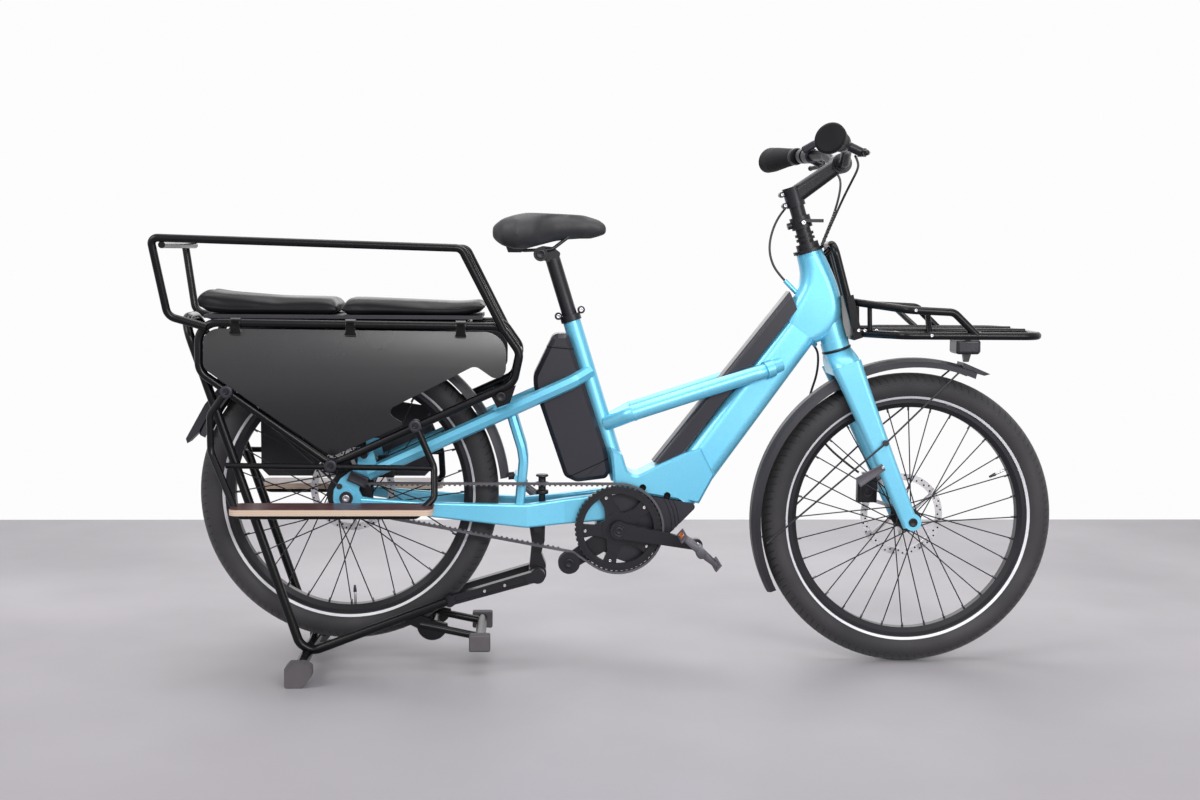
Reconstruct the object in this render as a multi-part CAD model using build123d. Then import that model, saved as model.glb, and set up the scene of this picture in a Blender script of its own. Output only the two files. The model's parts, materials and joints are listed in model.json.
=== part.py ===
from build123d import *
import os
from math import asin, atan2, cos, degrees, pi, radians, sin, sqrt, tan

# Electric longtail cargo bike, held at its rear wheel by a tubular floor stand.
# Millimetres, +X forward, +Y to the rider's left, +Z up, floor at Z = 0.
# The model is built with the rear axle at X = 0 and moved at the end, so that
# the origin lies on the floor under the middle of the bike.

# ---------------------------------------------------------------- driving sizes
wheel_base = 1190.0
tyre_radius = 313.5
tyre_section = 60.0
rear_lift = 54.5
rim_flange = 4.5
rim_depth = 18.0
rim_width = 32.0
hub_spacing_front = 100.0
hub_spacing_rear = 139.0
spoke_count = 32
spoke_diameter = 2.6
rotor_radius = 90.0
rotor_thickness = 2.0
rotor_offset_front = 38.0
rotor_offset_rear = 44.0
caliper_slot = 6.0
wire_radius = 2.0
hose_radius = 2.5

head_lean = 17.0
head_foot = (1030.0, 679.0)
head_tube_length = 212.0
head_tube_radius = 28.0
steerer_radius = 19.7
cap_radius = 33.0
running_gap = 0.3

seat_lean = 17.3
seat_tube_top = (466.0, 733.0)
seat_tube_length = 350.0
seat_tube_radius = 19.0
seatpost_radius = 15.8
seatpost_exposed = 136.0
seatpost_insert = 110.0
saddle_top = 957.0
saddle_width = 190.0

down_tube_height = 84.0
down_tube_width = 88.0
cover_half_width = 29.0
battery_half_width = 36.0
down_tube_foot = (690.0, 364.0)
down_tube_head = (996.0, 778.0)

bottom_bracket = (565.0, 300.5)
motor_half_width = 46.0
rib_count = 3
rib_pitch = 8.0
crank_length = 165.0
crank_drop_angle = 10.5
crank_inner_face = 75.0
crank_thickness = 15.0
sprocket_radius = 91.5
sprocket_width = 12.0
sprocket_teeth = 52
cog_radius = 25.0
belt_line = 60.0
belt_width = 11.0
belt_thickness = 4.5
belt_gap = 0.8
belt_pitch = 11.0
tooth_depth = 2.5
roller_centre = (462.0, 228.0)
roller_radius = 21.0

top_tube_radius = 16.0
top_tube_offset = 47.0
stay_radius = 13.5
stay_offset_rear = 75.0
stay_offset_front = 52.0
lug_outer = 66.0

fender_gap = 19.5
fender_thickness = 3.0
fender_half_width = 35.0

carrier_offset = 110.0
carrier_tube_radius = 8.5
carrier_lug = (319.5, 576.0)
panel_thickness = 4.0
panel_bulge = 16.0
panel_crest = 600.0
panel_half_height = 130.0
deck_thickness = 7.0
pad_half_width = 98.0
rail_offset = 150.0
rail_tube_radius = 8.0
rail_tail_bend = 12.0

board_inner = 130.0
board_outer = 215.0
board_thickness = 12.0
board_bottom = 354.0
board_rear = -217.0
board_front = 186.0
foot_tube_radius = 7.0

fork_leg_offset = 57.0
handlebar_half_width = 356.0
handlebar_radius = 11.1
grip_length = 130.0

rack_half_width = 150.0
rack_tube_radius = 8.0
rack_level = 714.0

stand_offset = 75.0
stand_tube_radius = 9.5
stand_foot_half_width = 180.0
stand_front_half_width = 100.0

kick_pivot = (396.0, 197.0)
kick_leg_offset = 44.0
kick_leg_radius = 11.0
kick_leg_length = 190.0
kick_lean = 16.0

# ---------------------------------------------------------------- derived sizes
rim_outer_radius = tyre_radius - tyre_section + rim_flange
rim_inner_radius = rim_outer_radius - rim_depth
fender_inner_radius = tyre_radius + fender_gap
rear_axle = (0.0, tyre_radius + rear_lift)
front_axle = (wheel_base, tyre_radius)
head_up = Vector(-sin(radians(head_lean)), 0, cos(radians(head_lean)))
head_forward = Vector(cos(radians(head_lean)), 0, sin(radians(head_lean)))
seat_up = Vector(-sin(radians(seat_lean)), 0, cos(radians(seat_lean)))
panel_curve = (panel_half_height ** 2 + panel_bulge ** 2) / (2 * panel_bulge)


# ---------------------------------------------------------------- grab rail route
rail_route = [
    Vector(-270, -carrier_offset - 17, 722),
    Vector(-346, -128, 744),
    Vector(-372, -rail_offset, 900),
    Vector(240, -rail_offset, 884),
    Vector(326, -carrier_offset - 17, 716),
]


def bend_reach(before, corner, after, bend, radius):
    """How far back a bent tube's outer face comes at its corner."""
    first = (before - corner).normalized()
    second = (after - corner).normalized()
    half = radians(first.get_angle(second)) / 2
    centre = corner + (first + second).normalized() * (bend / sin(half))
    normal = first.cross(second).normalized()
    return centre.X - bend * sqrt(1 - normal.X ** 2) - radius


rear_reach = bend_reach(rail_route[1], rail_route[2], rail_route[3], rail_tail_bend, rail_tube_radius)
middle_x = (wheel_base + tyre_radius + rear_reach) / 2


# ---------------------------------------------------------------- small helpers
def spot(place, side=0.0):
    """A point from its (x, z) place and its offset to the left."""
    return Vector(place[0], side, place[1])


def head_point(height, forward=0.0, side=0.0):
    """A point on the steering axis, moved forward and sideways from it."""
    return spot(head_foot) + head_up * height + head_forward * forward + Vector(0, side, 0)


def seat_point(depth, side=0.0):
    """A point on the seat tube's axis, depth below its top."""
    return spot(seat_tube_top) - seat_up * depth + Vector(0, side, 0)


def rod(start, end, radius):
    """A round bar from start to end."""
    run = end - start
    place = Plane(origin=start, z_dir=run)
    return place * Cylinder(radius, run.length, align=(Align.CENTER, Align.CENTER, Align.MIN))


def disc(place, radius, near, far):
    """A disc with its axis across the bike, between two offsets."""
    return rod(spot(place, near), spot(place, far), radius)


def ring(place, outer, inner, near, far):
    """A flat ring with its axis across the bike."""
    return disc(place, outer, near, far) - disc(place, inner, near - 1, far + 1)


def tube(points, bend, radius):
    """A bent round tube: straight runs joined by tangent arcs."""
    path = FilletPolyline(*points, radius=bend)
    section = Plane(origin=path @ 0, z_dir=path % 0) * Circle(radius)
    return sweep(section, path=path)


def bar(points, bend, face):
    """A bent bar of any section: the face is moved to the start of the path."""
    path = FilletPolyline(*points, radius=bend)
    section = Plane(origin=path @ 0, x_dir=(0, 1, 0), z_dir=path % 0) * face
    return sweep(section, path=path)


def plane_across(place, along, side=0.0):
    """A plane square to a direction in the bike's side view, its x across the bike."""
    return Plane(origin=spot(place, side), x_dir=(0, 1, 0), z_dir=(along[0], 0, along[1]))


def plate(outline, near, far):
    """A flat plate from an outline of (x, z) points, between two offsets."""
    shape = Polyline(*[spot(place, near) for place in outline], close=True)
    return extrude(make_face(shape), amount=far - near, dir=(0, 1, 0))


def rounded_plate(outline, radii, near, far):
    """A flat plate seen from the side, each corner with its own radius."""
    points = [Vector(x, near, z) for x, z in outline]
    face = make_face(FilletPolyline(*points, radius=radii, close=True))
    return extrude(face, amount=far - near, dir=(0, 1, 0))


def both(part):
    """The part and its mirror image on the other side."""
    return Part() + [part, mirror(part, about=Plane.XZ)]


def turned(profile, place):
    """A profile of (radius, offset) points turned about a wheel's axle."""
    face = make_face(Polyline(*[Vector(radius, offset, 0) for radius, offset in profile], close=True))
    return Pos(place[0], 0, place[1]) * revolve(face, axis=Axis.Y)


def save(name, part):
    """Write one node, moved so that the origin is under the middle."""
    moved = Pos(-middle_x, 0, 0) * part
    moved.label = name
    export_step(moved, f"parts/{name}.step")


# ---------------------------------------------------------------- wheels
def tyre(place):
    """A round section with its foot cut flat where it sits on the rim."""
    middle = tyre_radius - tyre_section / 2
    section = Pos(middle, 0) * Circle(tyre_section / 2)
    section -= Pos(rim_outer_radius / 2, 0) * Rectangle(rim_outer_radius, tyre_section)
    return Pos(place[0], 0, place[1]) * revolve(section, axis=Axis.Y)


def rim(place, hub_radius, flange_radius, flange_offset, axle_half):
    """Rim, hub and crossed spokes of one wheel."""
    half = rim_width / 2
    profile = [
        (rim_outer_radius - running_gap, -half),
        (rim_outer_radius - running_gap, half),
        (rim_outer_radius - 8, half),
        (rim_inner_radius, half * 0.6),
        (rim_inner_radius, -half * 0.6),
        (rim_outer_radius - 8, -half),
    ]
    wheel = turned(profile, place)
    wheel += disc(place, hub_radius, -flange_offset, flange_offset)
    for side in (-1, 1):
        wheel += disc(place, flange_radius, side * flange_offset - 1.5, side * flange_offset + 1.5)
    wheel += disc(place, hub_radius * 0.5, -axle_half, axle_half)
    for index in range(spoke_count):
        side = -1 if index % 2 else 1
        cross = 58 if (index // 2) % 2 else -58
        turn = 360 * index / spoke_count
        hub_angle = radians(turn + cross)
        rim_angle = radians(turn)
        seat = flange_radius - 4
        start = Vector(place[0] + seat * cos(hub_angle), side * flange_offset, place[1] + seat * sin(hub_angle))
        reach = rim_inner_radius + 3
        end = Vector(place[0] + reach * cos(rim_angle), side * 3, place[1] + reach * sin(rim_angle))
        wheel += rod(start, end, spoke_diameter / 2)
    return wheel


def rotor(place, offset, axle_radius):
    """Slotted brake disc on its carrier."""
    near = offset - rotor_thickness / 2
    far = offset + rotor_thickness / 2
    part = ring(place, rotor_radius, rotor_radius - 15, near, far)
    part += ring(place, axle_radius + 12, axle_radius + running_gap, near, far)
    for index in range(6):
        angle = radians(60 * index)
        lean = radians(60 * index + 35)
        seat = axle_radius + 8
        start = Vector(place[0] + seat * cos(angle), 0, place[1] + seat * sin(angle))
        end = Vector(place[0] + (rotor_radius - 12) * cos(lean), 0, place[1] + (rotor_radius - 12) * sin(lean))
        run = end - start
        middle = (start + end) * 0.5
        arm = Box(run.length, rotor_thickness, 8)
        tilt = -degrees(atan2(run.Z, run.X))
        part += Pos(middle.X, offset, middle.Z) * (Rot(0, tilt, 0) * arm)
    return part


# ---------------------------------------------------------------- frame
def down_tube_part():
    """Head tube, down tube and motor cradle in one."""
    foot = spot(down_tube_foot)
    head = spot(down_tube_head)
    run = head - foot
    place = Plane(origin=foot, x_dir=(0, 1, 0), z_dir=run)
    low = place * RectangleRounded(down_tube_width, down_tube_height, 24)
    high = place.offset(run.length) * RectangleRounded(down_tube_width * 0.62, down_tube_height * 0.9, 20)
    part = loft([low, high])
    collar = head_point(head_tube_length - 52)
    mouth = Plane(origin=head_point(head_tube_length - 8), x_dir=(0, 1, 0), z_dir=head_up)
    throat = [
        plane_across((951, 715), (0.594, 0.804)) * RectangleRounded(60, 84, 22),
        plane_across((987, 776), (0.23, 0.97)) * RectangleRounded(61, 106, 26),
        plane_across((collar.X, collar.Z), (-0.25, 0.97)) * RectangleRounded(59, 70, 26),
        mouth * RectangleRounded(56.5, 57, 27),
    ]
    part += loft(throat)
    part += rod(head_point(0), head_point(head_tube_length), head_tube_radius)
    part += rod(head_point(0), head_point(18), head_tube_radius + 2)
    cradle = [
        (556, 392), (560, 372), (625, 369), (737, 350), (770, 412),
        (740, 470), (700, 455), (648, 431), (590, 402), (574, 453), (548, 470),
    ]
    block = plate(cradle, -down_tube_width / 2, down_tube_width / 2)
    hollow = block.edges().filter_by(Axis.Y).sort_by_distance(spot((590, 402)))[0]
    block = fillet(hollow, 22)
    part += chamfer(block.faces().sort_by(Axis.Y)[0].edges() + block.faces().sort_by(Axis.Y)[-1].edges(), 5)
    part -= rod(head_point(-20), head_point(head_tube_length + 20), steerer_radius + running_gap)
    return part


def seat_tube_part():
    """Seat tube, bored for the post."""
    part = rod(seat_point(0), seat_point(seat_tube_length), seat_tube_radius)
    part -= rod(seat_point(-1), seat_point(seatpost_insert + 1), seatpost_radius + running_gap)
    return part


def top_tubes_part():
    """Two tubes that spread past the battery cover, with flared ends on the down tube."""
    side = top_tube_offset
    path = [
        Vector(542, -14, 518), Vector(590, -side, 541), Vector(862, -side, 630), Vector(906, -26, 645),
    ]
    part = tube(path, [30, 40], top_tube_radius)
    part += rod(Vector(872, -side + 3, 633), Vector(888, -side + 8, 638.5), top_tube_radius + 3)
    part += rod(Vector(594, -side, 542.3), Vector(599, -side, 544), top_tube_radius + 1)
    return both(part)


def seat_stays_part():
    """Eight-sided stays with their bridges and the carrier's lugs."""
    path = [
        Vector(44, -stay_offset_rear, 418), Vector(466, -stay_offset_front, 608), Vector(503, -12, 626),
    ]
    octagon = RegularPolygon(stay_radius, 8, major_radius=False)
    part = bar(path, 22, octagon)
    part += plate([(303, 540), (330, 552), (330, 588), (309, 588)], -lug_outer, -lug_outer + 8)
    part += plate([(22, 416), (66, 424), (54, 474), (26, 474)], -stay_offset_rear - 4, -stay_offset_rear + 4)
    part = both(part)
    part += rod(Vector(301.4, -stay_offset_rear + 14, 534.4), Vector(301.4, stay_offset_rear - 14, 534.4), 7)
    return part


def stay_section(place, side, width, height):
    across = Plane(origin=spot(place, -side), x_dir=(0, 1, 0), z_dir=(1, 0, 0))
    return across * RectangleRounded(width, height, 5)


def chain_stays_part():
    """Forged stays with their dropout plates and the struts to the seat stays."""
    sections = [
        stay_section((30, 359), 75, 11, 20),
        stay_section((180, 342), 68, 15, 32),
        stay_section((373, 326), 52, 20, 50),
        stay_section((452, 334), 37, 22, 54),
        stay_section((548, 344), 36, 22, 58),
    ]
    part = loft(sections, ruled=True)
    dropout = [
        (-20, 346), (-27, 362), (-26, 384), (-12, 408), (12, 426), (62, 440), (70, 424),
        (28, 400), (26, 384), (32, 371), (50, 367), (50, 351), (6, 340),
    ]
    outer = -hub_spacing_rear / 2
    part += plate(dropout, outer - 8, outer)
    part += disc(rear_axle, 19, outer - 11, outer)
    strut = [Vector(338, -44, 546), Vector(362, -42, 467), Vector(366, -42, 440), Vector(357, -44, 340)]
    part += bar(strut, [60, 60], RegularPolygon(9.5, 8, major_radius=False))
    part = both(part)
    part += rod(Vector(353, -42, 404), Vector(353, 42, 404), 7)
    return part


def motor_part():
    """Motor casing under the cradle, with cooling ribs on its nose."""
    casing = [
        (520, 330), (545, 366), (560, 371), (625, 368), (736, 349), (676, 288),
        (646, 250), (616, 229), (582, 226), (548, 238), (520, 262),
    ]
    half = motor_half_width
    part = plate(casing, -half, half)
    part = fillet(part.edges().filter_by(Axis.Y), 8)
    for index in range(rib_count):
        reach = 112 + index * rib_pitch
        groove = ring(bottom_bracket, reach + 2.5, reach, -half - 1, -half + 3)
        part -= groove & plate([(652, 240), (652, 400), (800, 400), (800, 240)], -half - 1, -half + 3)
    part -= disc(bottom_bracket, 13, -half - 1, half + 1)
    return part


def battery_cover_part():
    """Long cover over the battery in the down tube."""
    outline = [(924, 799), (640, 436), (680, 429), (940, 762)]
    part = plate(outline, -cover_half_width, cover_half_width)
    along = [edge for edge in part.edges().filter_by(GeomType.LINE) if edge.length > 300]
    top = [edge for edge in along if edge.center().Z > 612]
    return fillet(top, 9)


def rear_battery_part():
    """Bevelled second battery on a rail behind the seat tube."""
    outline = [
        (428, 708), (458, 708), (541, 462), (549, 416), (540, 402),
        (478, 394), (452, 406), (386, 598), (386, 620),
    ]
    half = battery_half_width
    part = rounded_plate(outline, [16, 13, 60, 12, 12, 20, 20, 50, 36], -half, half)
    sides = part.faces().sort_by(Axis.Y)
    part = chamfer(sides[0].edges() + sides[-1].edges(), 9)
    upper_seam = [(424, 680), (424, 683), (470, 679), (470, 676)]
    lower_seam = [(490, 396), (487, 396), (534, 444), (537, 444)]
    for seam in (upper_seam, lower_seam):
        part -= plate(seam, -half - 1, -half + 1.2)
        part -= plate(seam, half - 1.2, half + 1)
    return part


def seatpost_part():
    """Post with its collar, head clamp and saddle rails."""
    part = rod(seat_point(-seatpost_exposed), seat_point(seatpost_insert), seatpost_radius)
    part += rod(seat_point(-14), seat_point(-0.2), seat_tube_radius + 3)
    for place in ((438, 743), (486, 757)):
        part += disc(place, 8, -5, 5) - disc(place, 4, -6, 6)
    head = [(388, 884), (404, 890), (426, 888), (442, 876), (436, 856), (412, 858), (394, 864)]
    part += rounded_plate(head, [5, 8, 8, 6, 4, 4, 5], -14, 14)
    part += disc((400, 873), 15, -26, 26)
    for side in (-1, 1):
        rail = [
            Vector(326, 30 * side, 902), Vector(360, 22 * side, 880), Vector(424, 22 * side, 883),
            Vector(472, 14 * side, 920),
        ]
        part += tube(rail, [24, 24], 3.5)
    return part


def saddle_section(place, width, height):
    return Plane(origin=spot(place), x_dir=(0, 1, 0), z_dir=(1, 0, 0)) * RectangleRounded(
        width, height, min(width, height) * 0.45)


def saddle_part():
    """Padded shell, broad and deep at the rear and narrow at the nose."""
    top = saddle_top
    sections = [
        saddle_section((295, top - 40), 96, 26),
        saddle_section((316, top - 40), saddle_width * 0.82, 62),
        saddle_section((345, top - 39), saddle_width, 76),
        saddle_section((385, top - 33), saddle_width * 0.88, 64),
        saddle_section((430, top - 27), 104, 50),
        saddle_section((482, top - 25), 62, 42),
        saddle_section((526, top - 28), 46, 36),
        saddle_section((544, top - 32), 28, 22),
    ]
    return loft(sections, ruled=True)


def belt_teeth(start, end, inward):
    """Square teeth along a straight run of the belt, on the side of inward."""
    run_x = end[0] - start[0]
    run_z = end[1] - start[1]
    length = sqrt(run_x ** 2 + run_z ** 2)
    along = (run_x / length, run_z / length)
    across = (-along[1] * inward, along[0] * inward)
    count = int(length / belt_pitch) - 3
    points = []
    for index in range(count):
        base = belt_pitch * (index + 1.85)
        for step, depth in (
                (0, 0.0), (1, tooth_depth), (belt_pitch * 0.42, tooth_depth), (belt_pitch * 0.5, 0.0)):
            reach = base + step
            points.append(Vector(
                start[0] + along[0] * reach + across[0] * depth, 0,
                start[1] + along[1] * reach + across[1] * depth))
    first = points[0]
    last = points[-1]
    back = Vector(-across[0], 0, -across[1]) * (belt_thickness / 2)
    outline = points + [last + back, first + back]
    face = make_face(Polyline(*outline, close=True))
    return extrude(face, amount=belt_width / 2, dir=(0, 1, 0), both=True)


# ---------------------------------------------------------------- drive
def tangent_points(first, radius_a, side_a, second, radius_b, side_b):
    """Ends of a straight run from one pulley to the next; side 1 keeps it on the left."""
    run_x = second[0] - first[0]
    run_z = second[1] - first[1]
    length = sqrt(run_x ** 2 + run_z ** 2)
    angle = atan2(run_z, run_x) - asin((side_b * radius_b - side_a * radius_a) / length)
    normal = (-sin(angle), cos(angle))
    start = (first[0] - side_a * radius_a * normal[0], first[1] - side_a * radius_a * normal[1])
    end = (second[0] - side_b * radius_b * normal[0], second[1] - side_b * radius_b * normal[1])
    return start, end


def pulley_arc(centre, radius, start, end, turning):
    """The arc round a pulley from start to end."""
    first = atan2(start[1] - centre[1], start[0] - centre[0])
    last = atan2(end[1] - centre[1], end[0] - centre[0])
    if turning > 0 and last < first:
        last += 2 * pi
    if turning < 0 and last > first:
        last -= 2 * pi
    half = (first + last) / 2
    middle = (centre[0] + radius * cos(half), centre[1] + radius * sin(half))
    return ThreePointArc(spot(start), spot(middle), spot(end))


def belt_loop(cog, sprocket, roller):
    """Closed outline round cog and sprocket, pressed up by the roller."""
    out_start, out_end = tangent_points(rear_axle, cog, 1, roller_centre, roller, -1)
    mid_start, mid_end = tangent_points(roller_centre, roller, -1, bottom_bracket, sprocket, 1)
    top_start, top_end = tangent_points(bottom_bracket, sprocket, 1, rear_axle, cog, 1)
    wire = Wire([
        Line(spot(out_start), spot(out_end)),
        pulley_arc(roller_centre, roller, out_end, mid_start, -1),
        Line(spot(mid_start), spot(mid_end)),
        pulley_arc(bottom_bracket, sprocket, mid_end, top_start, 1),
        Line(spot(top_start), spot(top_end)),
        pulley_arc(rear_axle, cog, top_end, out_start, 1),
    ])
    return extrude(make_face(wire), amount=belt_width / 2, dir=(0, 1, 0), both=True)


def belt_part():
    inner_cog = cog_radius + belt_gap
    inner_sprocket = sprocket_radius + belt_gap
    back = roller_radius + running_gap
    outer = belt_loop(inner_cog + belt_thickness, inner_sprocket + belt_thickness, back)
    inner = belt_loop(inner_cog, inner_sprocket, back + belt_thickness)
    part = outer - inner
    low_start, low_end = tangent_points(rear_axle, inner_cog, 1, roller_centre, back + belt_thickness, -1)
    top_start, top_end = tangent_points(bottom_bracket, inner_sprocket, 1, rear_axle, inner_cog, 1)
    part += belt_teeth(low_start, low_end, 1)
    part += belt_teeth(top_start, top_end, 1)
    return Pos(0, -belt_line, 0) * part


def sprocket_part():
    """Toothed ring on a five-armed spider."""
    near = -belt_line - sprocket_width / 2
    far = -belt_line + sprocket_width / 2
    points = []
    for index in range(sprocket_teeth):
        turn = 2 * pi * index / sprocket_teeth
        tooth = 2 * pi / sprocket_teeth
        for step, reach in ((0.0, sprocket_radius), (0.42, sprocket_radius), (0.5, sprocket_radius - 2.4),
                            (0.92, sprocket_radius - 2.4)):
            angle = turn + tooth * step
            points.append(spot(bottom_bracket, near) + Vector(reach * cos(angle), 0, reach * sin(angle)))
    face = make_face(Polyline(*points, close=True))
    part = extrude(face, amount=far - near, dir=(0, 1, 0))
    part -= disc(bottom_bracket, sprocket_radius - 17, near - 1, far + 1)
    part += ring(bottom_bracket, sprocket_radius - 8, sprocket_radius - 17, near - 2, far)
    part += disc(bottom_bracket, 34, near, far)
    for index in range(5):
        tip = sprocket_radius - 12
        arm = [(26, -19), (50, -11), (tip, -15), (tip, 15), (50, 11), (26, 19)]
        turn = radians(72 * index + 40)
        outline = [
            (bottom_bracket[0] + reach * cos(turn) - side * sin(turn),
             bottom_bracket[1] + reach * sin(turn) + side * cos(turn))
            for reach, side in arm
        ]
        part += plate(outline, near + 2, far)
    part -= disc(bottom_bracket, 12.5, near - 3, far + 1)
    return part


def crank_end(side):
    """Pedal axle place for the right (-1) or left (1) crank."""
    angle = radians(-crank_drop_angle)
    reach = side * crank_length
    return (bottom_bracket[0] - reach * cos(angle), bottom_bracket[1] - reach * sin(angle))


def cranks_part():
    outer = crank_inner_face + crank_thickness
    part = disc(bottom_bracket, 12, -outer, outer)
    for side in (-1, 1):
        end = crank_end(side)
        near = side * crank_inner_face
        far = side * outer
        low = min(near, far)
        high = max(near, far)
        run_x = end[0] - bottom_bracket[0]
        run_z = end[1] - bottom_bracket[1]
        across = (-run_z / crank_length, run_x / crank_length)
        outline = [
            (bottom_bracket[0] + across[0] * 16, bottom_bracket[1] + across[1] * 16),
            (bottom_bracket[0] - across[0] * 16, bottom_bracket[1] - across[1] * 16),
            (end[0] - across[0] * 11, end[1] - across[1] * 11),
            (end[0] + across[0] * 11, end[1] + across[1] * 11),
        ]
        part += plate(outline, low, high)
        part += disc(bottom_bracket, 18, low, high)
        part += disc(end, 13, low, high)
        part -= disc(end, 6.2, low - 1, high + 1)
    return part


def pedal_part(side):
    """Cage pedal with its axle in the crank's eye."""
    end = crank_end(side)
    inner = crank_inner_face + 1
    cage = crank_inner_face + crank_thickness + 8
    part = disc(end, 6, side * inner, side * (cage + 92))
    body = Box(96, 84, 20) - Pos(28, 0, 0) * Box(26, 66, 30) - Pos(-28, 0, 0) * Box(26, 66, 30)
    for along in (-44, -30, 30, 44):
        body -= Pos(along, 0, 11) * Box(5, 90, 6)
        body -= Pos(along, 0, -11) * Box(5, 90, 6)
    part += Pos(end[0], side * (cage + 44), end[1]) * (Rot(0, 40, 0) * body)
    return part


def roller_part():
    """Flanged roller under the belt, on an arm from the motor casing."""
    groove = belt_width / 2 + 0.8
    profile = [
        (5, -groove - 2.5), (roller_radius + 2, -groove - 2.5), (roller_radius + 2, -groove),
        (roller_radius, -groove), (roller_radius, groove), (roller_radius + 2, groove),
        (roller_radius + 2, groove + 2.5), (5, groove + 2.5),
    ]
    part = Pos(0, -belt_line, 0) * turned(profile, roller_centre)
    part += disc(roller_centre, 9, -belt_line - groove - 5, -motor_half_width - 1)
    arm = [(452, 240), (452, 216), (474, 214), (552, 258), (544, 292), (526, 292)]
    part += rounded_plate(arm, [9, 9, 9, 14, 10, 10], -belt_line + groove + 2.5, -motor_half_width)
    return part


# ---------------------------------------------------------------- fork and bars
def fork_part():
    """Crown, straight raked legs and the steerer inside the head tube."""
    part = loft([
        Plane(origin=head_point(-6), x_dir=(0, 1, 0), z_dir=head_up) * RectangleRounded(64, 58, 27),
        Plane(origin=head_point(-16, 1), x_dir=(0, 1, 0), z_dir=head_up) * RectangleRounded(96, 61, 27),
        Plane(origin=head_point(-32, 3), x_dir=(0, 1, 0), z_dir=head_up) * RectangleRounded(128, 64, 27),
        Plane(origin=head_point(-50, 5), x_dir=(0, 1, 0), z_dir=head_up) * RectangleRounded(139, 66, 27),
    ])
    part += rod(head_point(-10), head_point(head_tube_length + 12), steerer_radius)
    foot = (front_axle[0] - 3, front_axle[1] - 8)
    top = (1041, 648)
    run = (top[0] - foot[0], top[1] - foot[1])
    length = sqrt(run[0] ** 2 + run[1] ** 2)
    along = (run[0] / length, run[1] / length)
    for side in (-1, 1):
        y = side * fork_leg_offset
        sections = []
        for share, width, depth in ((0.0, 14, 34), (0.3, 20, 41), (0.6, 23, 49), (0.8, 25, 56), (1.0, 26, 65)):
            place = (foot[0] + run[0] * share, foot[1] + run[1] * share)
            face = RectangleRounded(width, depth, width * 0.47)
            sections.append(plane_across(place, along, y) * face)
        part += loft(sections)
        part += disc(front_axle, 18, side * hub_spacing_front / 2, side * (hub_spacing_front / 2 + 15))
        near = min(y, y * 1.2)
        part += disc((1125, 484), 9, near, near + abs(y) * 0.2)
    part -= disc(front_axle, 19, -hub_spacing_front / 2, hub_spacing_front / 2)
    arch = fork_leg_offset - 12
    part -= disc(front_axle, fender_inner_radius + fender_thickness + 9, -arch, arch)
    return part


def fender_shell(place, radius, start, end):
    """Round-backed mudguard between two angles above the level."""
    half = fender_half_width
    wall = fender_thickness
    outer = [
        (radius - 14, -half), (radius - 2, -half * 0.86), (radius + 4, -half * 0.4),
        (radius + 4, half * 0.4), (radius - 2, half * 0.86), (radius - 14, half),
    ]
    inner = [
        (radius - 14, half - wall), (radius - 2 - wall, half * 0.86 - wall),
        (radius + 4 - wall, half * 0.4 - 1), (radius + 4 - wall, -half * 0.4 + 1),
        (radius - 2 - wall, -half * 0.86 + wall), (radius - 14, -half + wall),
    ]
    points = [Vector(reach, offset, 0) for reach, offset in outer + inner]
    face = make_face(Polyline(*points, close=True))
    face = Rot(0, -start, 0) * face
    shell = revolve(face, axis=Axis((0, 0, 0), (0, -1, 0)), revolution_arc=end - start)
    return Pos(place[0], 0, place[1]) * shell


def front_fender_part():
    """Guard with a pointed flap, its bolt under the crown and two wire stays from each leg."""
    centre = (front_axle[0] + 10, front_axle[1] - 2.5)
    part = fender_shell(centre, fender_inner_radius + 10.5, 68, 207)
    flap = [(1300, 650.5), (1358, 626), (1345, 622.5), (1296, 636)]
    sheet = plate(flap, -fender_half_width * 0.7, fender_half_width * 0.7)
    part += sheet - plate([(1290, 634), (1290, 642), (1330, 627), (1326, 620)], -20, 20)
    bolt_turn = radians(114)
    inner = fender_inner_radius + 5
    start = spot(front_axle) + Vector(inner * cos(bolt_turn), 0, inner * sin(bolt_turn))
    end = spot(front_axle) + Vector((inner + 21) * cos(bolt_turn), 0, (inner + 21) * sin(bolt_turn))
    part += rod(start, end, 8)
    for side in (-1, 1):
        seat = Vector(1125, side * (fork_leg_offset * 1.2 + 7), 484)
        part += rod(seat - Vector(0, side * 6.8, 0), seat + Vector(0, side * 3, 0), 6)
        part += rod(seat, Vector(1288, side * fender_half_width, 631), wire_radius)
        part += rod(seat, Vector(884, side * fender_half_width, 263), wire_radius)
    return part


def rear_fender_part():
    """Guard with a flared tail flap and the blocks under its two bridges."""
    part = fender_shell(rear_axle, fender_inner_radius, 6, 158)
    tail = [(-262, 587), (-312, 497), (-335, 474), (-338, 484), (-298, 556), (-268, 592)]
    part += plate(tail, -fender_half_width * 0.7, fender_half_width * 0.7)
    for turn, gap in ((28.9, 3), (5.9, 12)):
        angle = radians(turn)
        start = fender_inner_radius + 2
        end = fender_inner_radius + fender_thickness + gap
        low = spot(rear_axle) + Vector(start * cos(angle), 0, start * sin(angle))
        high = spot(rear_axle) + Vector(end * cos(angle), 0, end * sin(angle))
        part += rod(low, high, 8)
    for side in (-1, 1):
        seat = Vector(-14, side * (hub_spacing_rear / 2 + 11.3), 392)
        part += rod(seat, seat - Vector(0, side * 3.2, 0), 6)
        part += rod(seat, Vector(-242, side * fender_half_width, 588), wire_radius)
    return part


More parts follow.
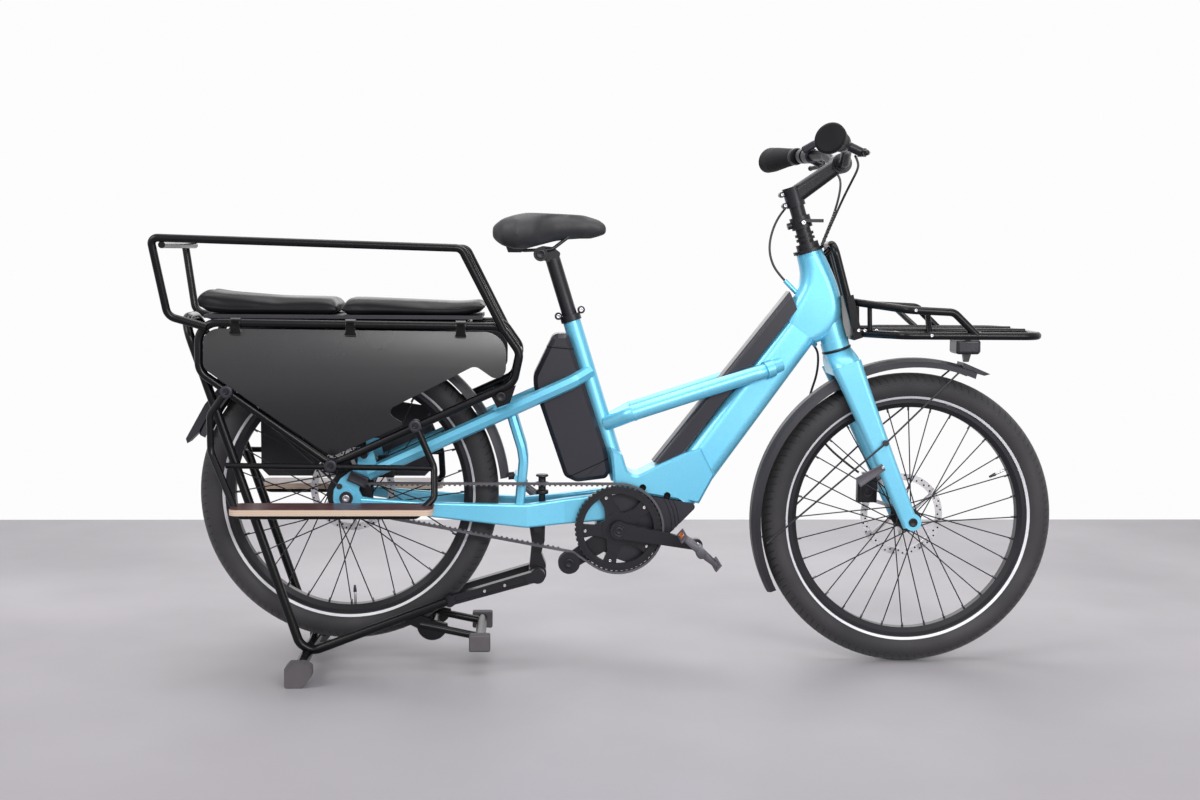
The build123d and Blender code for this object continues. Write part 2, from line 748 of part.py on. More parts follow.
def stem_part():
    """Top cap, riser with its quick clamp, and the stem."""
    part = rod(head_point(head_tube_length + 1), head_point(head_tube_length + 8), cap_radius)
    part += rod(head_point(head_tube_length + 8), head_point(head_tube_length + 20), 24)
    part += rod(head_point(head_tube_length + 20), head_point(342), 16)
    for height in (head_tube_length + 26, head_tube_length + 36):
        part += rod(head_point(height), head_point(height + 6), 20)
    part += rod(head_point(head_tube_length + 52), head_point(head_tube_length + 78), 22)
    clamp = head_point(head_tube_length + 65)
    lever = plane_across((clamp.X - 3, clamp.Z), (0.0, 1.0)) * RectangleRounded(14, 54, 5)
    part += Pos(20, -20, 0) * extrude(lever, amount=7)
    part += rod(head_point(head_tube_length + 64), head_point(head_tube_length + 64, -30), 7)
    part += rod(head_point(312), head_point(354), 20)
    for height in (320, 344):
        part += rod(head_point(height, -24, -9), head_point(height, -24, 9), 6)
    part -= rod(head_point(head_tube_length - 5), head_point(head_tube_length + 12.5), steerer_radius + 0.05)
    arm = spot((1029, 1067)) - head_point(334)
    run = (arm.X / arm.length, arm.Z / arm.length)
    start = head_point(334)
    arm_sections = [
        plane_across((start.X, start.Z), run) * RectangleRounded(34, 38, 12),
        plane_across((1029 - run[0] * 14, 1067 - run[1] * 14), run) * RectangleRounded(42, 32, 12),
    ]
    part += loft(arm_sections)
    part += disc((1029, 1067), 21, -24, 24)
    part -= disc((1029, 1067), handlebar_radius + 4.9, -60, 60)
    return part


def bar_path(side):
    return [
        Vector(1029, 0, 1067), Vector(1029, 50 * side, 1067), Vector(1020, 110 * side, 1092),
        Vector(944, handlebar_half_width * side, 1101),
    ]


def handlebar_part():
    right = tube(bar_path(-1), 30, handlebar_radius)
    part = right + mirror(right, about=Plane.XZ)
    part += disc((1029, 1067), handlebar_radius + 4.8, -30, 30)
    return part


def grip_part(side):
    """Grip with a palm rest that widens towards the bar's end."""
    end = Vector(944, handlebar_half_width * side, 1101)
    inner = Vector(1020, 110 * side, 1092)
    along = (end - inner).normalized()
    start = end - along * grip_length
    rest = Vector(-0.72, 0, -0.69)
    sections = []
    stations = (
        (0, 17, 17, 0), (50, 23, 20, 4), (100, 30, 25, 9), (grip_length, 31, 27, 10),
        (grip_length + 4, 27, 23, 9),
    )
    for reach, wide, tall, drop in stations:
        place = Plane(origin=start + along * reach + rest * drop, x_dir=rest, z_dir=along)
        sections.append(place * Ellipse(wide + 0.2, tall))
    grip = loft(sections, ruled=True)
    grip -= rod(start - along * 2, end, handlebar_radius + 0.1)
    return grip


def lever_body(side):
    """Clamp, body and blade of one brake lever."""
    end = Vector(944, handlebar_half_width * side, 1101)
    inner = Vector(1020, 110 * side, 1092)
    along = (end - inner).normalized()
    seat = end - along * (grip_length + 26)
    body = rod(seat - along * 8, seat + along * 8, 17)
    knuckle = seat + Vector(40, 0, -18)
    blade_end = knuckle + along * 86 + Vector(16, 0, -8)
    body += rod(seat + Vector(12, 0, -5), knuckle, 9)
    body += rod(knuckle - Vector(0, 0, 8), knuckle + Vector(0, 0, 8), 9)
    body += tube([knuckle, knuckle + along * 40 + Vector(16, 0, -4), blade_end], 60, 5)
    body += Pos(blade_end.X, blade_end.Y, blade_end.Z) * Sphere(6)
    body -= rod(seat - along * 30, seat + along * 30, handlebar_radius + 0.1)
    return body


def controls_part():
    """Display remote on the left and twist shifter on the right."""
    parts = []
    for side, reach, length, radius in ((1, 52, 22, 17), (-1, 9, 12, 19)):
        end = Vector(944, handlebar_half_width * side, 1101)
        inner = Vector(1020, 110 * side, 1092)
        along = (end - inner).normalized()
        seat = end - along * (grip_length + reach)
        collar = rod(seat - along * length / 2, seat + along * length / 2, radius)
        if side > 0:
            housing = Pos(seat.X - 2, seat.Y - 10, seat.Z + 20) * (Rot(0, -30, -14) * Box(34, 44, 16))
            collar += fillet(housing.edges(), 4)
        collar -= rod(seat - along * 40, seat + along * 40, handlebar_radius + 0.1)
        parts.append(collar)
    return Part() + parts


# ---------------------------------------------------------------- carrier
def carrier_part():
    """Side loops joined by cross tubes, with the lug plates that hang from them."""
    corners = [
        (-290, 731), (320, 726), (358, 672), (345, 611), (-25, 442), (-290, 632),
    ]
    points = [spot(place, -carrier_offset) for place in corners]
    path = FilletPolyline(*points, radius=[40, 34, 30, 30, 34, 34], close=True)
    section = Plane(origin=path @ 0, z_dir=path % 0) * Circle(carrier_tube_radius)
    part = sweep(section, path=path)
    part += plate([(296, 590), (350, 606), (338, 570), (312, 560)], -carrier_offset - 3, -carrier_offset + 3)
    part = both(part)
    cross_tubes = (
        (carrier_lug, carrier_tube_radius - 0.5), ((-289, 684), 6), ((356, 668), 6), ((-240, 733), 6),
        ((250, 727), 6),
    )
    for place, radius in cross_tubes:
        part += disc(place, radius, -carrier_offset, carrier_offset)
    part += both(disc((40, 462), 8, -carrier_offset, -stay_offset_rear - 4.2))
    return part


def side_panel_part():
    """Bulged side panel hung by three clips from the loop's top tube."""
    outline = [
        (-279, 719), (331, 714.5), (329, 604), (267, 647), (84, 553), (124, 527), (-25, 458), (-279, 640),
    ]
    radii = [30, 46, 20, 18, 12, 5, 12, 24]
    blank = rounded_plate(outline, radii, -carrier_offset - panel_bulge - 6, -carrier_offset + 30)
    middle_y = panel_curve - carrier_offset - panel_bulge
    rear = Vector(-401, middle_y, panel_crest)
    front = Vector(401, middle_y, panel_crest)
    outer = rod(rear, front, panel_curve)
    inner = rod(rear, front, panel_curve - panel_thickness)
    part = blank & (outer - inner)
    for x in (-214, 16, 238):
        level = 731.0 - (x + 290) * 5.0 / 610
        middle = Vector(x, -carrier_offset, level)
        clip = rod(middle - Vector(10, 0, 0), middle + Vector(10, 0, 0), carrier_tube_radius + 3)
        clip -= Pos(x, -carrier_offset + 12.7, level) * Box(30, 16.4, 40)
        part += clip
        part += Pos(x, -carrier_offset - 7, level - 15) * Box(20, 9, 16)
    return both(part)


def wheel_guard_part():
    """Guard plate between the left loop and its footboard."""
    outline = [(-204, 600), (-204, 404), (-188, 388), (150, 388), (166, 404), (166, 540)]
    near = carrier_offset - 12.5
    part = plate(outline, near, near + 3)
    for place in ((-120, 510), (80, 490)):
        part += disc(place, 6, near + 1, carrier_offset)
    return part


def deck_part():
    level = 731 + carrier_tube_radius + 0.2
    return Pos(0, 0, level + deck_thickness / 2) * Box(
        560, 2 * carrier_offset - 10, deck_thickness)


def pads_part():
    """Two long seat pads, raised at the bench's rear end."""
    bottom = 731 + carrier_tube_radius + 0.2 + deck_thickness + 0.3
    rear = [
        (-298, 764), (-282, bottom), (-24, bottom), (-14, 756), (-14, 768), (-24, 775),
        (-143, 777), (-225, 784), (-284, 787), (-298, 780),
    ]
    front = [
        (-6, 768), (-6, 756), (4, bottom), (264, bottom), (286, 753), (286, 759),
        (272, 765), (83, 773), (4, 776),
    ]
    parts = []
    for outline in (rear, front):
        parts.append(plate(outline, -pad_half_width, pad_half_width))
    return Part() + parts


def grab_rail_part():
    side = rail_offset
    part = tube(rail_route, [24, rail_tail_bend, 18], rail_tube_radius)
    part = both(part)
    part += rod(Vector(-350, -side, 886), Vector(-350, side, 886), 7)
    return part


def foot_frame_part():
    low = board_bottom - foot_tube_radius - 0.3
    path = [
        Vector(-232, -128, 594), Vector(-266, -128, 545), Vector(-266, -126, 470), Vector(-205, -172, low),
        Vector(150, -172, low), Vector(186, -150, 380), Vector(184, -128, 440), Vector(146, -128, 528),
    ]
    part = tube(path, [20, 40, 16, 12, 20, 30], foot_tube_radius)
    part += rod(Vector(-236, -126, 442), Vector(183, -128, 437), 6)
    for place in ((146, 524), (-232, 592), (-25, 442)):
        part += disc(place, 7, -128, -carrier_offset)
    return both(part)


def boards_part():
    outline = [
        Vector(board_rear, -board_inner, 0), Vector(board_rear, -board_outer, 0),
        Vector(board_front, -board_outer, 0), Vector(board_front, -board_inner, 0),
    ]
    face = make_face(Polyline(*outline, close=True))
    board = extrude(face, amount=board_thickness)
    board = fillet(board.edges().filter_by(Axis.Z), 18)
    return both(Pos(0, 0, board_bottom) * board)


def rear_light_part():
    """Lamp on a bracket behind the carrier's rear cross tube."""
    part = fillet((Pos(-308, 0, 684) * Box(16, 56, 30)).edges(), 4)
    part += Pos(-298, 0, 684) * Box(14, 22, 18)
    return part


# ---------------------------------------------------------------- front rack
def front_rack_part():
    """Rack with raised side rails, slats, braces and the hoop on the head tube."""
    side = rack_half_width
    tube_r = rack_tube_radius
    level = rack_level
    base = [
        Vector(1070, -30, level - 2), Vector(1140, -side, level), Vector(1425, -side, level),
        Vector(1425, side, level), Vector(1140, side, level), Vector(1070, 30, level - 2),
    ]
    part = tube(base, [30, 40, 40, 30], tube_r)
    for y in (-50, 50):
        part += rod(Vector(1090, y, level + 6), Vector(1420, y, level + 6), 5)
    part += rod(Vector(1140, -side, level), Vector(1140, side, level), 6)
    part += rod(Vector(1310, -side, level), Vector(1310, side, level), 6)
    upper = [
        Vector(1058, -30, 778), Vector(1150, -side, 766), Vector(1240, -side, 762), Vector(1290, -side, level),
    ]
    raised = tube(upper, [30, 24], tube_r)
    raised += rod(Vector(1185, -side, 764.5), Vector(1216, -50, level + 6), 6)
    raised += rod(Vector(1086, -62, 774), Vector(1088, -62, level), 5)
    part += both(raised)
    crown = head_point(head_tube_length + 3, 47)
    hoop = [
        Vector(1062, -42, level + 6), Vector(crown.X, -42, crown.Z),
        Vector(crown.X, 42, crown.Z), Vector(1062, 42, level + 6),
    ]
    part += tube(hoop, 24, tube_r)
    part += rod(head_point(head_tube_length - 4, 47), head_point(head_tube_length - 20, 17), 6)
    plate_outline = [(1058, 698), (1076, 704), (1054, 794), (1040, 790)]
    part += plate(plate_outline, -50, 50)
    part -= rod(head_point(-10), head_point(head_tube_length + 0.5), head_tube_radius + 0.2)
    part -= rod(head_point(head_tube_length + 0.5), head_point(head_tube_length + 9), cap_radius + 1)
    return part


def headlight_part():
    """Lamp housing under the rack, with its bracket tongue."""
    part = fillet((Pos(1308, 0, 684) * Box(52, 62, 32)).edges(), 7)
    part += Pos(1310, 0, 700) * Box(20, 26, 16)
    part += plate([(1302, 672), (1322, 672), (1316, 650.5), (1306, 650.5)], -5, 5)
    part -= Pos(1334, 0, 684) * Box(6, 50, 22)
    return part


def headlight_lens_part():
    return Pos(1333.2, 0, 684) * Box(3.6, 49.6, 21.6)


# ---------------------------------------------------------------- floor stand
def stand_part():
    side = stand_offset
    bottom = 44.0
    path = [
        Vector(206, -side, 149), Vector(-72, -side, bottom), Vector(-100, -side, bottom + 16),
        Vector(-327, -side, 738), Vector(-327, side, 738),
        Vector(-100, side, bottom + 16), Vector(-72, side, bottom), Vector(206, side, 149),
    ]
    part = tube(path, [30, 30, 50, 50, 30, 30], stand_tube_radius)
    rest_reach = tyre_radius + running_gap + 10
    rest_x = -78.0
    rest_z = rear_axle[1] - sqrt(rest_reach ** 2 - rest_x ** 2)
    part += rod(Vector(rest_x, -side, rest_z), Vector(rest_x, side, rest_z), 10)
    part += rod(Vector(-86, -stand_foot_half_width, 36), Vector(-86, stand_foot_half_width, 36), 12)
    for y in (-70, 70):
        part += rod(Vector(150, y, 99), Vector(276, y, 72), 8)
    for y in (-side, side):
        near = min(y, y * 0.84)
        half_disc = disc((176, 98), 32, near, near + abs(y) * 0.16) - plate(
            [(100, 125), (100, 170), (260, 170), (260, 88)], near - 1, near + abs(y) * 0.16 + 1)
        part += half_disc
        part += plate([(116, 106), (130, 124), (172, 112), (160, 84)], near, near + abs(y) * 0.16)
    part += rod(Vector(178, -side, 88), Vector(178, side, 88), 8)
    part += rod(Vector(276, -stand_front_half_width, 72), Vector(276, stand_front_half_width, 72), 11)
    return part


def stand_feet_part():
    """Rubber shoes on the ends of the stand's two cross tubes."""
    shoe = [(-113, 0), (-80, 0), (-59, 22), (-59, 42), (-74, 50), (-104, 50), (-113, 40)]
    feet = []
    for side in (-1, 1):
        near = side * (stand_foot_half_width + 2) - 16
        foot = rounded_plate(shoe, [5, 6, 8, 8, 8, 8, 6], near, near + 32)
        foot -= rod(Vector(-86, -stand_foot_half_width, 36), Vector(-86, stand_foot_half_width, 36), 12)
        feet.append(foot)
        front = Pos(276, side * (stand_front_half_width + 2), 68) * fillet(Box(44, 26, 36).edges(), 4)
        front -= rod(Vector(276, -stand_front_half_width, 72), Vector(276, stand_front_half_width, 72), 11)
        feet.append(front)
    return Part() + feet


# ---------------------------------------------------------------- kickstand
def kick_mount_part():
    """Forged post under the chain stays, with the legs' knuckle."""
    post = [
        (378, 300), (412, 300), (411, 266), (404, 240), (414, 214), (410, 188), (384, 186), (379, 212), (384, 262),
    ]
    part = plate(post, -20, 20)
    part += disc(kick_pivot, 19, -27, 27)
    part -= disc(kick_pivot, 8.3, -60, 60)
    part += rod(Vector(396, -46, 296), Vector(396, 46, 296), 8)
    return part


def kick_legs_part():
    """Two channelled legs on one axle, with plastic feet."""
    outer = kick_leg_offset + kick_leg_radius
    part = disc(kick_pivot, 8, -outer, outer)
    angle = radians(180 + kick_lean)
    along = (cos(angle), sin(angle))
    across = (-along[1], along[0])
    for side in (-1, 1):
        near = side * kick_leg_offset - kick_leg_radius
        far = side * kick_leg_offset + kick_leg_radius
        outline = []
        channel = []
        for reach, half in ((0, 12), (kick_leg_length, 10)):
            outline.append((reach, half))
            channel.append((26 + reach * 0.83, half - 4.5))
        leg = outline + [(reach, -half) for reach, half in reversed(outline)]
        slot = channel + [(reach, -half) for reach, half in reversed(channel)]
        shapes = []
        for shape in (leg, slot):
            shapes.append([
                (kick_pivot[0] + along[0] * reach + across[0] * half,
                 kick_pivot[1] + along[1] * reach + across[1] * half)
                for reach, half in shape
            ])
        part += plate(shapes[0], near, far)
        part -= plate(shapes[1], near - 1, near + 4)
        part -= plate(shapes[1], far - 4, far + 1)
        part += disc(kick_pivot, 16, near, far)
        reach = kick_leg_length + 2
        end = (kick_pivot[0] + along[0] * reach, kick_pivot[1] + along[1] * reach)
        part += disc(end, kick_leg_radius + 1.5, near - 1, far + 1)
    return part


def caliper(place, centre, size, offset):
    """Brake caliper with the slot that the rotor turns in."""
    part = Pos(centre[0], offset, centre[1]) * fillet(Box(*size).edges(), 4)
    part -= disc(place, rotor_radius + 5, offset - caliper_slot / 2, offset + caliper_slot / 2)
    return part


def rear_caliper_part():
    part = caliper(rear_axle, (66, 412), (48, 30, 36), rotor_offset_rear)
    part += plate([(44, 404), (88, 412), (88, 430), (50, 428)], rotor_offset_rear + 14, stay_offset_rear - 6)
    return part


def front_caliper_part():
    part = caliper(front_axle, (1112, 372), (46, 22, 64), rotor_offset_front)
    bracket = [(1104, 400), (1130, 418), (1160, 390), (1140, 372), (1120, 372)]
    part += plate(bracket, rotor_offset_front + 8, fork_leg_offset - 4)
    return part


# ---------------------------------------------------------------- hoses
def bend_radii(points):
    """For each corner of a hose the largest arc that its two runs allow."""
    radii = []
    for before, corner, after in zip(points, points[1:], points[2:]):
        turn = radians((corner - before).get_angle(after - corner))
        shorter = min((corner - before).length, (after - corner).length)
        radii.append(0.45 * shorter / tan(turn / 2))
    return radii


def hose(name, points):
    """One hose along its route; prints its length and its tightest bend."""
    radii = bend_radii(points)
    path = FilletPolyline(*points, radius=radii)
    section = Plane(origin=path @ 0, z_dir=path % 0) * Circle(hose_radius)
    part = sweep(section, path=path)
    print(name, "length", round(path.length), "tightest radius", round(min(radii)))
    swept = pi * hose_radius ** 2 * path.length
    print(name, "volume over section times length", round(part.volume / swept, 3))
    return part


def loop_cable_part():
    """Cable from behind the stem into the frame's throat; it bends as the bar turns."""
    route = [
        Vector(934, 14, 992), Vector(911, 24, 966), Vector(893, 25, 930), Vector(885, 20, 892),
        Vector(890, 13, 860), Vector(905, 7, 834), Vector(930, 1, 808),
    ]
    return hose("loop_cable", route)


def bar_hose_part(name, side):
    """Hose from a brake lever to the front of the head cap."""
    route = [
        Vector(1022, 184 * side, 1072), Vector(1038, 142 * side, 1062), Vector(1046, 98 * side, 1050),
        Vector(1044, 56 * side, 1030), Vector(1034, 26 * side, 998), Vector(1021, 11 * side, 962),
        Vector(1007, 6 * side, 928), Vector(994, 5 * side, 894),
    ]
    return hose(name, route)


def fork_hose_part():
    """Front brake hose from the down tube's port to the caliper; it bends as the fork turns."""
    route = [
        Vector(978, 14, 690), Vector(994, 25, 677), Vector(1000, 36, 650), Vector(998, 46, 614),
        Vector(988, 54, 580), Vector(982, 60, 542), Vector(996, 65, 502), Vector(1024, 66, 464),
        Vector(1058, 60, 432), Vector(1096, 46, 404),
    ]
    return hose("fork_hose", route)


# ---------------------------------------------------------------- writing out
def main():
    os.makedirs("parts", exist_ok=True)
    down = down_tube_part()
    down += rod(Vector(918, 3.5, 821), Vector(947, -3, 791), 5)
    down += rod(Vector(990, 20, 684), Vector(972, 11, 694), 5)
    loop_cable = loop_cable_part()
    fork_hose = fork_hose_part()
    down -= loop_cable + fork_hose
    tube_bore = rod(seat_point(0), seat_point(seat_tube_length), seat_tube_radius)
    seat = seat_tube_part() - down
    motor = motor_part() - down
    cross_tube = disc(carrier_lug, carrier_tube_radius - 0.35, -carrier_offset, carrier_offset)
    stays = seat_stays_part() - tube_bore - cross_tube
    chain = chain_stays_part() - stays - down - seat - motor
    post = seatpost_part()
    carrier = carrier_part()
    rail = grab_rail_part() - carrier
    frames = foot_frame_part() - carrier - rail
    rack = front_rack_part() - down
    fork = fork_part()
    stem = stem_part()
    levers = Part() + [lever_body(-1), lever_body(1)]
    front_caliper = front_caliper_part() - fork

    save("down_tube", down)
    save("seat_tube", seat)
    save("top_tubes", top_tubes_part() - down - seat - tube_bore)
    save("seat_stays", stays)
    save("chain_stays", chain)
    save("motor", motor)
    save("battery_cover", battery_cover_part() - down)
    save("rear_battery", rear_battery_part() - tube_bore - seat - stays)
    save("seatpost", post)
    save("saddle", saddle_part() - post)
    save("carrier_loops", carrier)
    save("side_panels", side_panel_part() - carrier)
    save("wheel_guard", wheel_guard_part() - carrier)
    save("seat_deck", deck_part())
    save("seat_pads", pads_part())
    save("grab_rail", rail)
    save("foot_frames", frames)
    save("footboards", boards_part() - frames)
    save("rear_fender", rear_fender_part() - stays - chain)
    save("rear_light", rear_light_part() - carrier)
    save("front_rack", rack)
    save("headlight", headlight_part() - rack)
    save("headlight_lens", headlight_lens_part())
    save("rear_caliper", rear_caliper_part() - stays - chain)
    save("belt", belt_part())
    save("belt_roller", roller_part() - chain)
    save("kickstand_mount", kick_mount_part() - chain)
    save("floor_stand", stand_part())
    save("stand_feet", stand_feet_part())
    save("loop_cable", loop_cable - stem)

    save("fork", fork)
    save("front_fender", front_fender_part() - fork)
    save("front_caliper", front_caliper)
    save("stem", stem)
    save("handlebar", handlebar_part())
    save("grips", Part() + [grip_part(-1), grip_part(1)])
    save("brake_levers", levers)
    save("bar_controls", controls_part())
    save("right_hose", bar_hose_part("right_hose", -1) - stem - levers)
    save("left_hose", bar_hose_part("left_hose", 1) - stem - levers)
    save("fork_hose", fork_hose - front_caliper - fork)

    save("front_tyre", tyre(front_axle))
    save("front_rim", rim(front_axle, 16, 26, 30, hub_spacing_front / 2 - 0.3))
    save("front_rotor", rotor(front_axle, rotor_offset_front, 8))
    save("rear_tyre", tyre(rear_axle))
    save("rear_rim", rim(rear_axle, 40, 46, 30, hub_spacing_rear / 2 - 0.3))
    half = belt_width / 2
    save("rear_cog", ring(rear_axle, cog_radius, 20.2, -belt_line - half, -belt_line + half))
    save("rear_rotor", rotor(rear_axle, rotor_offset_rear, 20))
    save("sprocket", sprocket_part())
    save("cranks", cranks_part())
    save("pedal_right", pedal_part(-1))
    save("pedal_left", pedal_part(1))
    save("kickstand_legs", kick_legs_part())


main()
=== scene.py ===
import json
import math
from functools import partial

import bmesh
import bpy
from mathutils import Matrix, Vector


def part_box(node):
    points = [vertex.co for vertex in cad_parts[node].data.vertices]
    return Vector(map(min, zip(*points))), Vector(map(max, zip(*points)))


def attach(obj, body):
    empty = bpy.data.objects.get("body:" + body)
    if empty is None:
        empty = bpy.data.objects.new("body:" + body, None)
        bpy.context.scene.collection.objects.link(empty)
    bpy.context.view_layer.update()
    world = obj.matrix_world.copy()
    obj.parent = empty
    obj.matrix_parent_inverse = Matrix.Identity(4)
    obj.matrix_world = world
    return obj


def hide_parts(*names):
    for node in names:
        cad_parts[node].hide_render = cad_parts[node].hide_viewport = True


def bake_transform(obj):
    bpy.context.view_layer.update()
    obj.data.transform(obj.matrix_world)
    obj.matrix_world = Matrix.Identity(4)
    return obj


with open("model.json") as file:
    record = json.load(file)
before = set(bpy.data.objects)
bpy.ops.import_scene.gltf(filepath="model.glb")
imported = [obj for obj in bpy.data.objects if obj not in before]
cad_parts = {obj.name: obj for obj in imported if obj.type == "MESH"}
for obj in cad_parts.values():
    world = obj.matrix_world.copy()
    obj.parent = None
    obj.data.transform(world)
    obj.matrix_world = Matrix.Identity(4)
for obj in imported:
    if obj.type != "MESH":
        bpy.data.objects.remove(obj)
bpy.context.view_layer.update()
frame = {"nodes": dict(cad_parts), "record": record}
nodes = frame["nodes"]
scene = bpy.context.scene
MM = 0.001

ORIGIN = Vector((0, 0, 0))
LEFT = Vector((0, 1, 0))
RIGHT = Vector((0, -1, 0))
UP = Vector((0, 0, 1))
FORWARD = Vector((1, 0, 0))
SIDES = ((-1, RIGHT, "right"), (1, LEFT, "left"))

# Millimetres from the rear axle forward, and above the floor.
REAR_AXLE_HEIGHT = 368
CRANK_X, CRANK_Z = 565, 300.5
CRANK_LENGTH = 165
CRANK_ANGLE = math.radians(-10.5)
FOOT_FRAME_JOINTS = ((146, 524), (-232, 592), (-25, 442))


# ---- places
def middle(node):
    """The middle of a node's box."""
    low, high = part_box(node)
    return (low + high) / 2


rear_axle = middle("rear_tyre")
front_axle = middle("front_tyre")
head_lean = math.radians(17)
head_up = Vector((-math.sin(head_lean), 0, math.cos(head_lean)))
head_forward = Vector((math.cos(head_lean), 0, math.sin(head_lean)))


def mm(x, y, z):
    """A vector given in millimetres."""
    return Vector((x * MM, y * MM, z * MM))


def spot(x, y, z):
    """A place from millimetres ahead of the rear axle, to the left, and above the floor."""
    return Vector((rear_axle.x + x * MM, y * MM, z * MM))


def head_spot(height, forward=0.0, side=0.0):
    """A place on the steering axis, moved forward and sideways from it."""
    return spot(1030, side, 679) + head_up * height * MM + head_forward * forward * MM


def wheel_spot(axle, radius, degrees, y):
    """A place at a radius and an angle above the level, ahead of a wheel's axle."""
    turn = math.radians(degrees)
    return Vector((axle.x + radius * MM * math.cos(turn), y * MM, axle.z + radius * MM * math.sin(turn)))


def aim(centre, along):
    """The matrix that sets a piece modelled along Z at a place and a direction."""
    return Matrix.Translation(centre) @ along.to_track_quat("Z", "Y").to_matrix().to_4x4()


def tilt(centre, degrees):
    """The matrix that sets a piece at a place, turned about the bike's cross axis."""
    return Matrix.Translation(centre) @ Matrix.Rotation(math.radians(degrees), 4, "Y")


# ---- camera and light
def add_camera():
    """Looks at the bike's right side, from a little behind its middle and a little above."""
    yaw = 0.0473
    pitch = 0.0988
    roll = 0.0081
    look = Vector((math.sin(yaw) * math.cos(pitch), math.cos(yaw) * math.cos(pitch), -math.sin(pitch)))
    level = Vector((math.cos(yaw), -math.sin(yaw), 0))
    over = level.cross(look)
    right = level * math.cos(roll) + over * math.sin(roll)
    top = over * math.cos(roll) - level * math.sin(roll)
    camera = bpy.data.objects.new("camera", bpy.data.cameras.new("camera"))
    camera.data.lens = 45.47
    camera.data.sensor_width = 36.0
    camera.data.sensor_fit = "HORIZONTAL"
    place = Matrix((right, top, -look)).transposed().to_4x4()
    place.translation = Vector((-0.18695, -3.1988, 0.88305))
    camera.matrix_world = place
    scene.collection.objects.link(camera)
    scene.camera = camera


def add_lights():
    """Soft rectangular lamps, as name, place, height aimed at, size and power."""
    for name, place, aimed_at, size, power in (
            ("lamp_front_left", (-3.4, -2.1, 3.0), 0.5, (2.0, 2.0), 80),
            ("lamp_front_right", (2.2, -3.4, 1.2), 0.5, (1.8, 1.2), 34),
            ("lamp_high_front", (0.8, -4.3, 2.3), 0.5, (3.0, 0.8), 114),
            ("lamp_over", (0.2, 0.2, 3.4), 0.4, (3.6, 2.2), 86),
            ("lamp_behind", (0.3, 3.2, 1.9), 0.5, (3.4, 1.8), 26)):
        light = bpy.data.lights.new(name, "AREA")
        light.shape = "RECTANGLE"
        light.size, light.size_y = size
        light.energy = power
        lamp = bpy.data.objects.new(name, light)
        lamp.location = place
        lamp.rotation_euler = (Vector((0, 0, aimed_at)) - Vector(place)).to_track_quat("-Z", "Y").to_euler()
        scene.collection.objects.link(lamp)


def add_backdrop():
    """White where the camera, gloss and glass look, and a plain grey light elsewhere."""
    world = bpy.data.worlds.new("studio")
    scene.world = world
    world.use_nodes = True
    tree = world.node_tree
    tree.nodes.clear()
    pick = add_node(tree, "MixShader")
    lit = ((0.93, 0.95, 1.0, 1), 0.3)
    seen = ((0.985, 0.98, 0.99, 1), 1.0)
    for socket, (colour, strength) in ((pick.inputs[1], lit), (pick.inputs[2], seen)):
        feed(tree, socket, add_node(tree, "Background", Color=colour, Strength=strength).outputs[0])
    path = add_node(tree, "LightPath").outputs
    either = work(tree, "MAXIMUM", path["Is Camera Ray"], path["Is Glossy Ray"])
    feed(tree, pick.inputs[0], work(tree, "MAXIMUM", either, path["Is Transmission Ray"]))
    add_node(tree, "OutputWorld", Surface=pick.outputs[0])


# ---- shader groups
def feed(tree, socket, value):
    """Links a socket to another, or gives it a plain value."""
    if isinstance(value, (int, float, tuple)):
        socket.default_value = value
    else:
        tree.links.new(value, socket)


def wire(tree, node, **values):
    """Feeds a node's inputs by name, each from a socket or a plain value."""
    for label, value in values.items():
        feed(tree, node.inputs[label.replace("_", " ")], value)
    return node


def add_node(tree, kind, **values):
    return wire(tree, tree.nodes.new("ShaderNode" + kind), **values)


def add_group(name, inputs, outputs=("Color", "Roughness", "Height")):
    """A node group whose sockets' kinds follow from their values, its inputs and its end node."""
    tree = bpy.data.node_groups.new(name, "ShaderNodeTree")
    for label, value in inputs.items():
        kind = "Float" if isinstance(value, float) else "Color" if len(value) == 4 else "Vector"
        socket = tree.interface.new_socket(name=label, in_out="INPUT", socket_type="NodeSocket" + kind)
        socket.default_value = value
    for label in outputs:
        kind = "Color" if label == "Color" else "Float"
        tree.interface.new_socket(name=label, in_out="OUTPUT", socket_type="NodeSocket" + kind)
    return tree, tree.nodes.new("NodeGroupInput").outputs, tree.nodes.new("NodeGroupOutput")


def add_noise(tree, vector, scale, detail):
    return add_node(tree, "TexNoise", Vector=vector, Scale=scale, Detail=detail).outputs[0]


def add_range(tree, value, low, high, to_low, to_high):
    return add_node(
        tree, "MapRange", Value=value, From_Min=low, From_Max=high, To_Min=to_low, To_Max=to_high).outputs[0]


def add_blend(tree, factor, first, second):
    """Mixes two colours, each given as a socket or as a colour."""
    mix = add_node(tree, "Mix")
    mix.data_type = "RGBA"
    for index, value in ((0, factor), (6, first), (7, second)):
        feed(tree, mix.inputs[index], value)
    return mix.outputs[2]


def work(tree, operation, *values):
    """One step of arithmetic between sockets or numbers."""
    step = add_node(tree, "Math")
    step.operation = operation
    for socket, value in zip(step.inputs, values):
        feed(tree, socket, value)
    return step.outputs[0]


def add_object_place(tree):
    return add_node(tree, "TexCoord").outputs["Object"]


def split_vector(tree, vector):
    return add_node(tree, "SeparateXYZ", Vector=vector).outputs


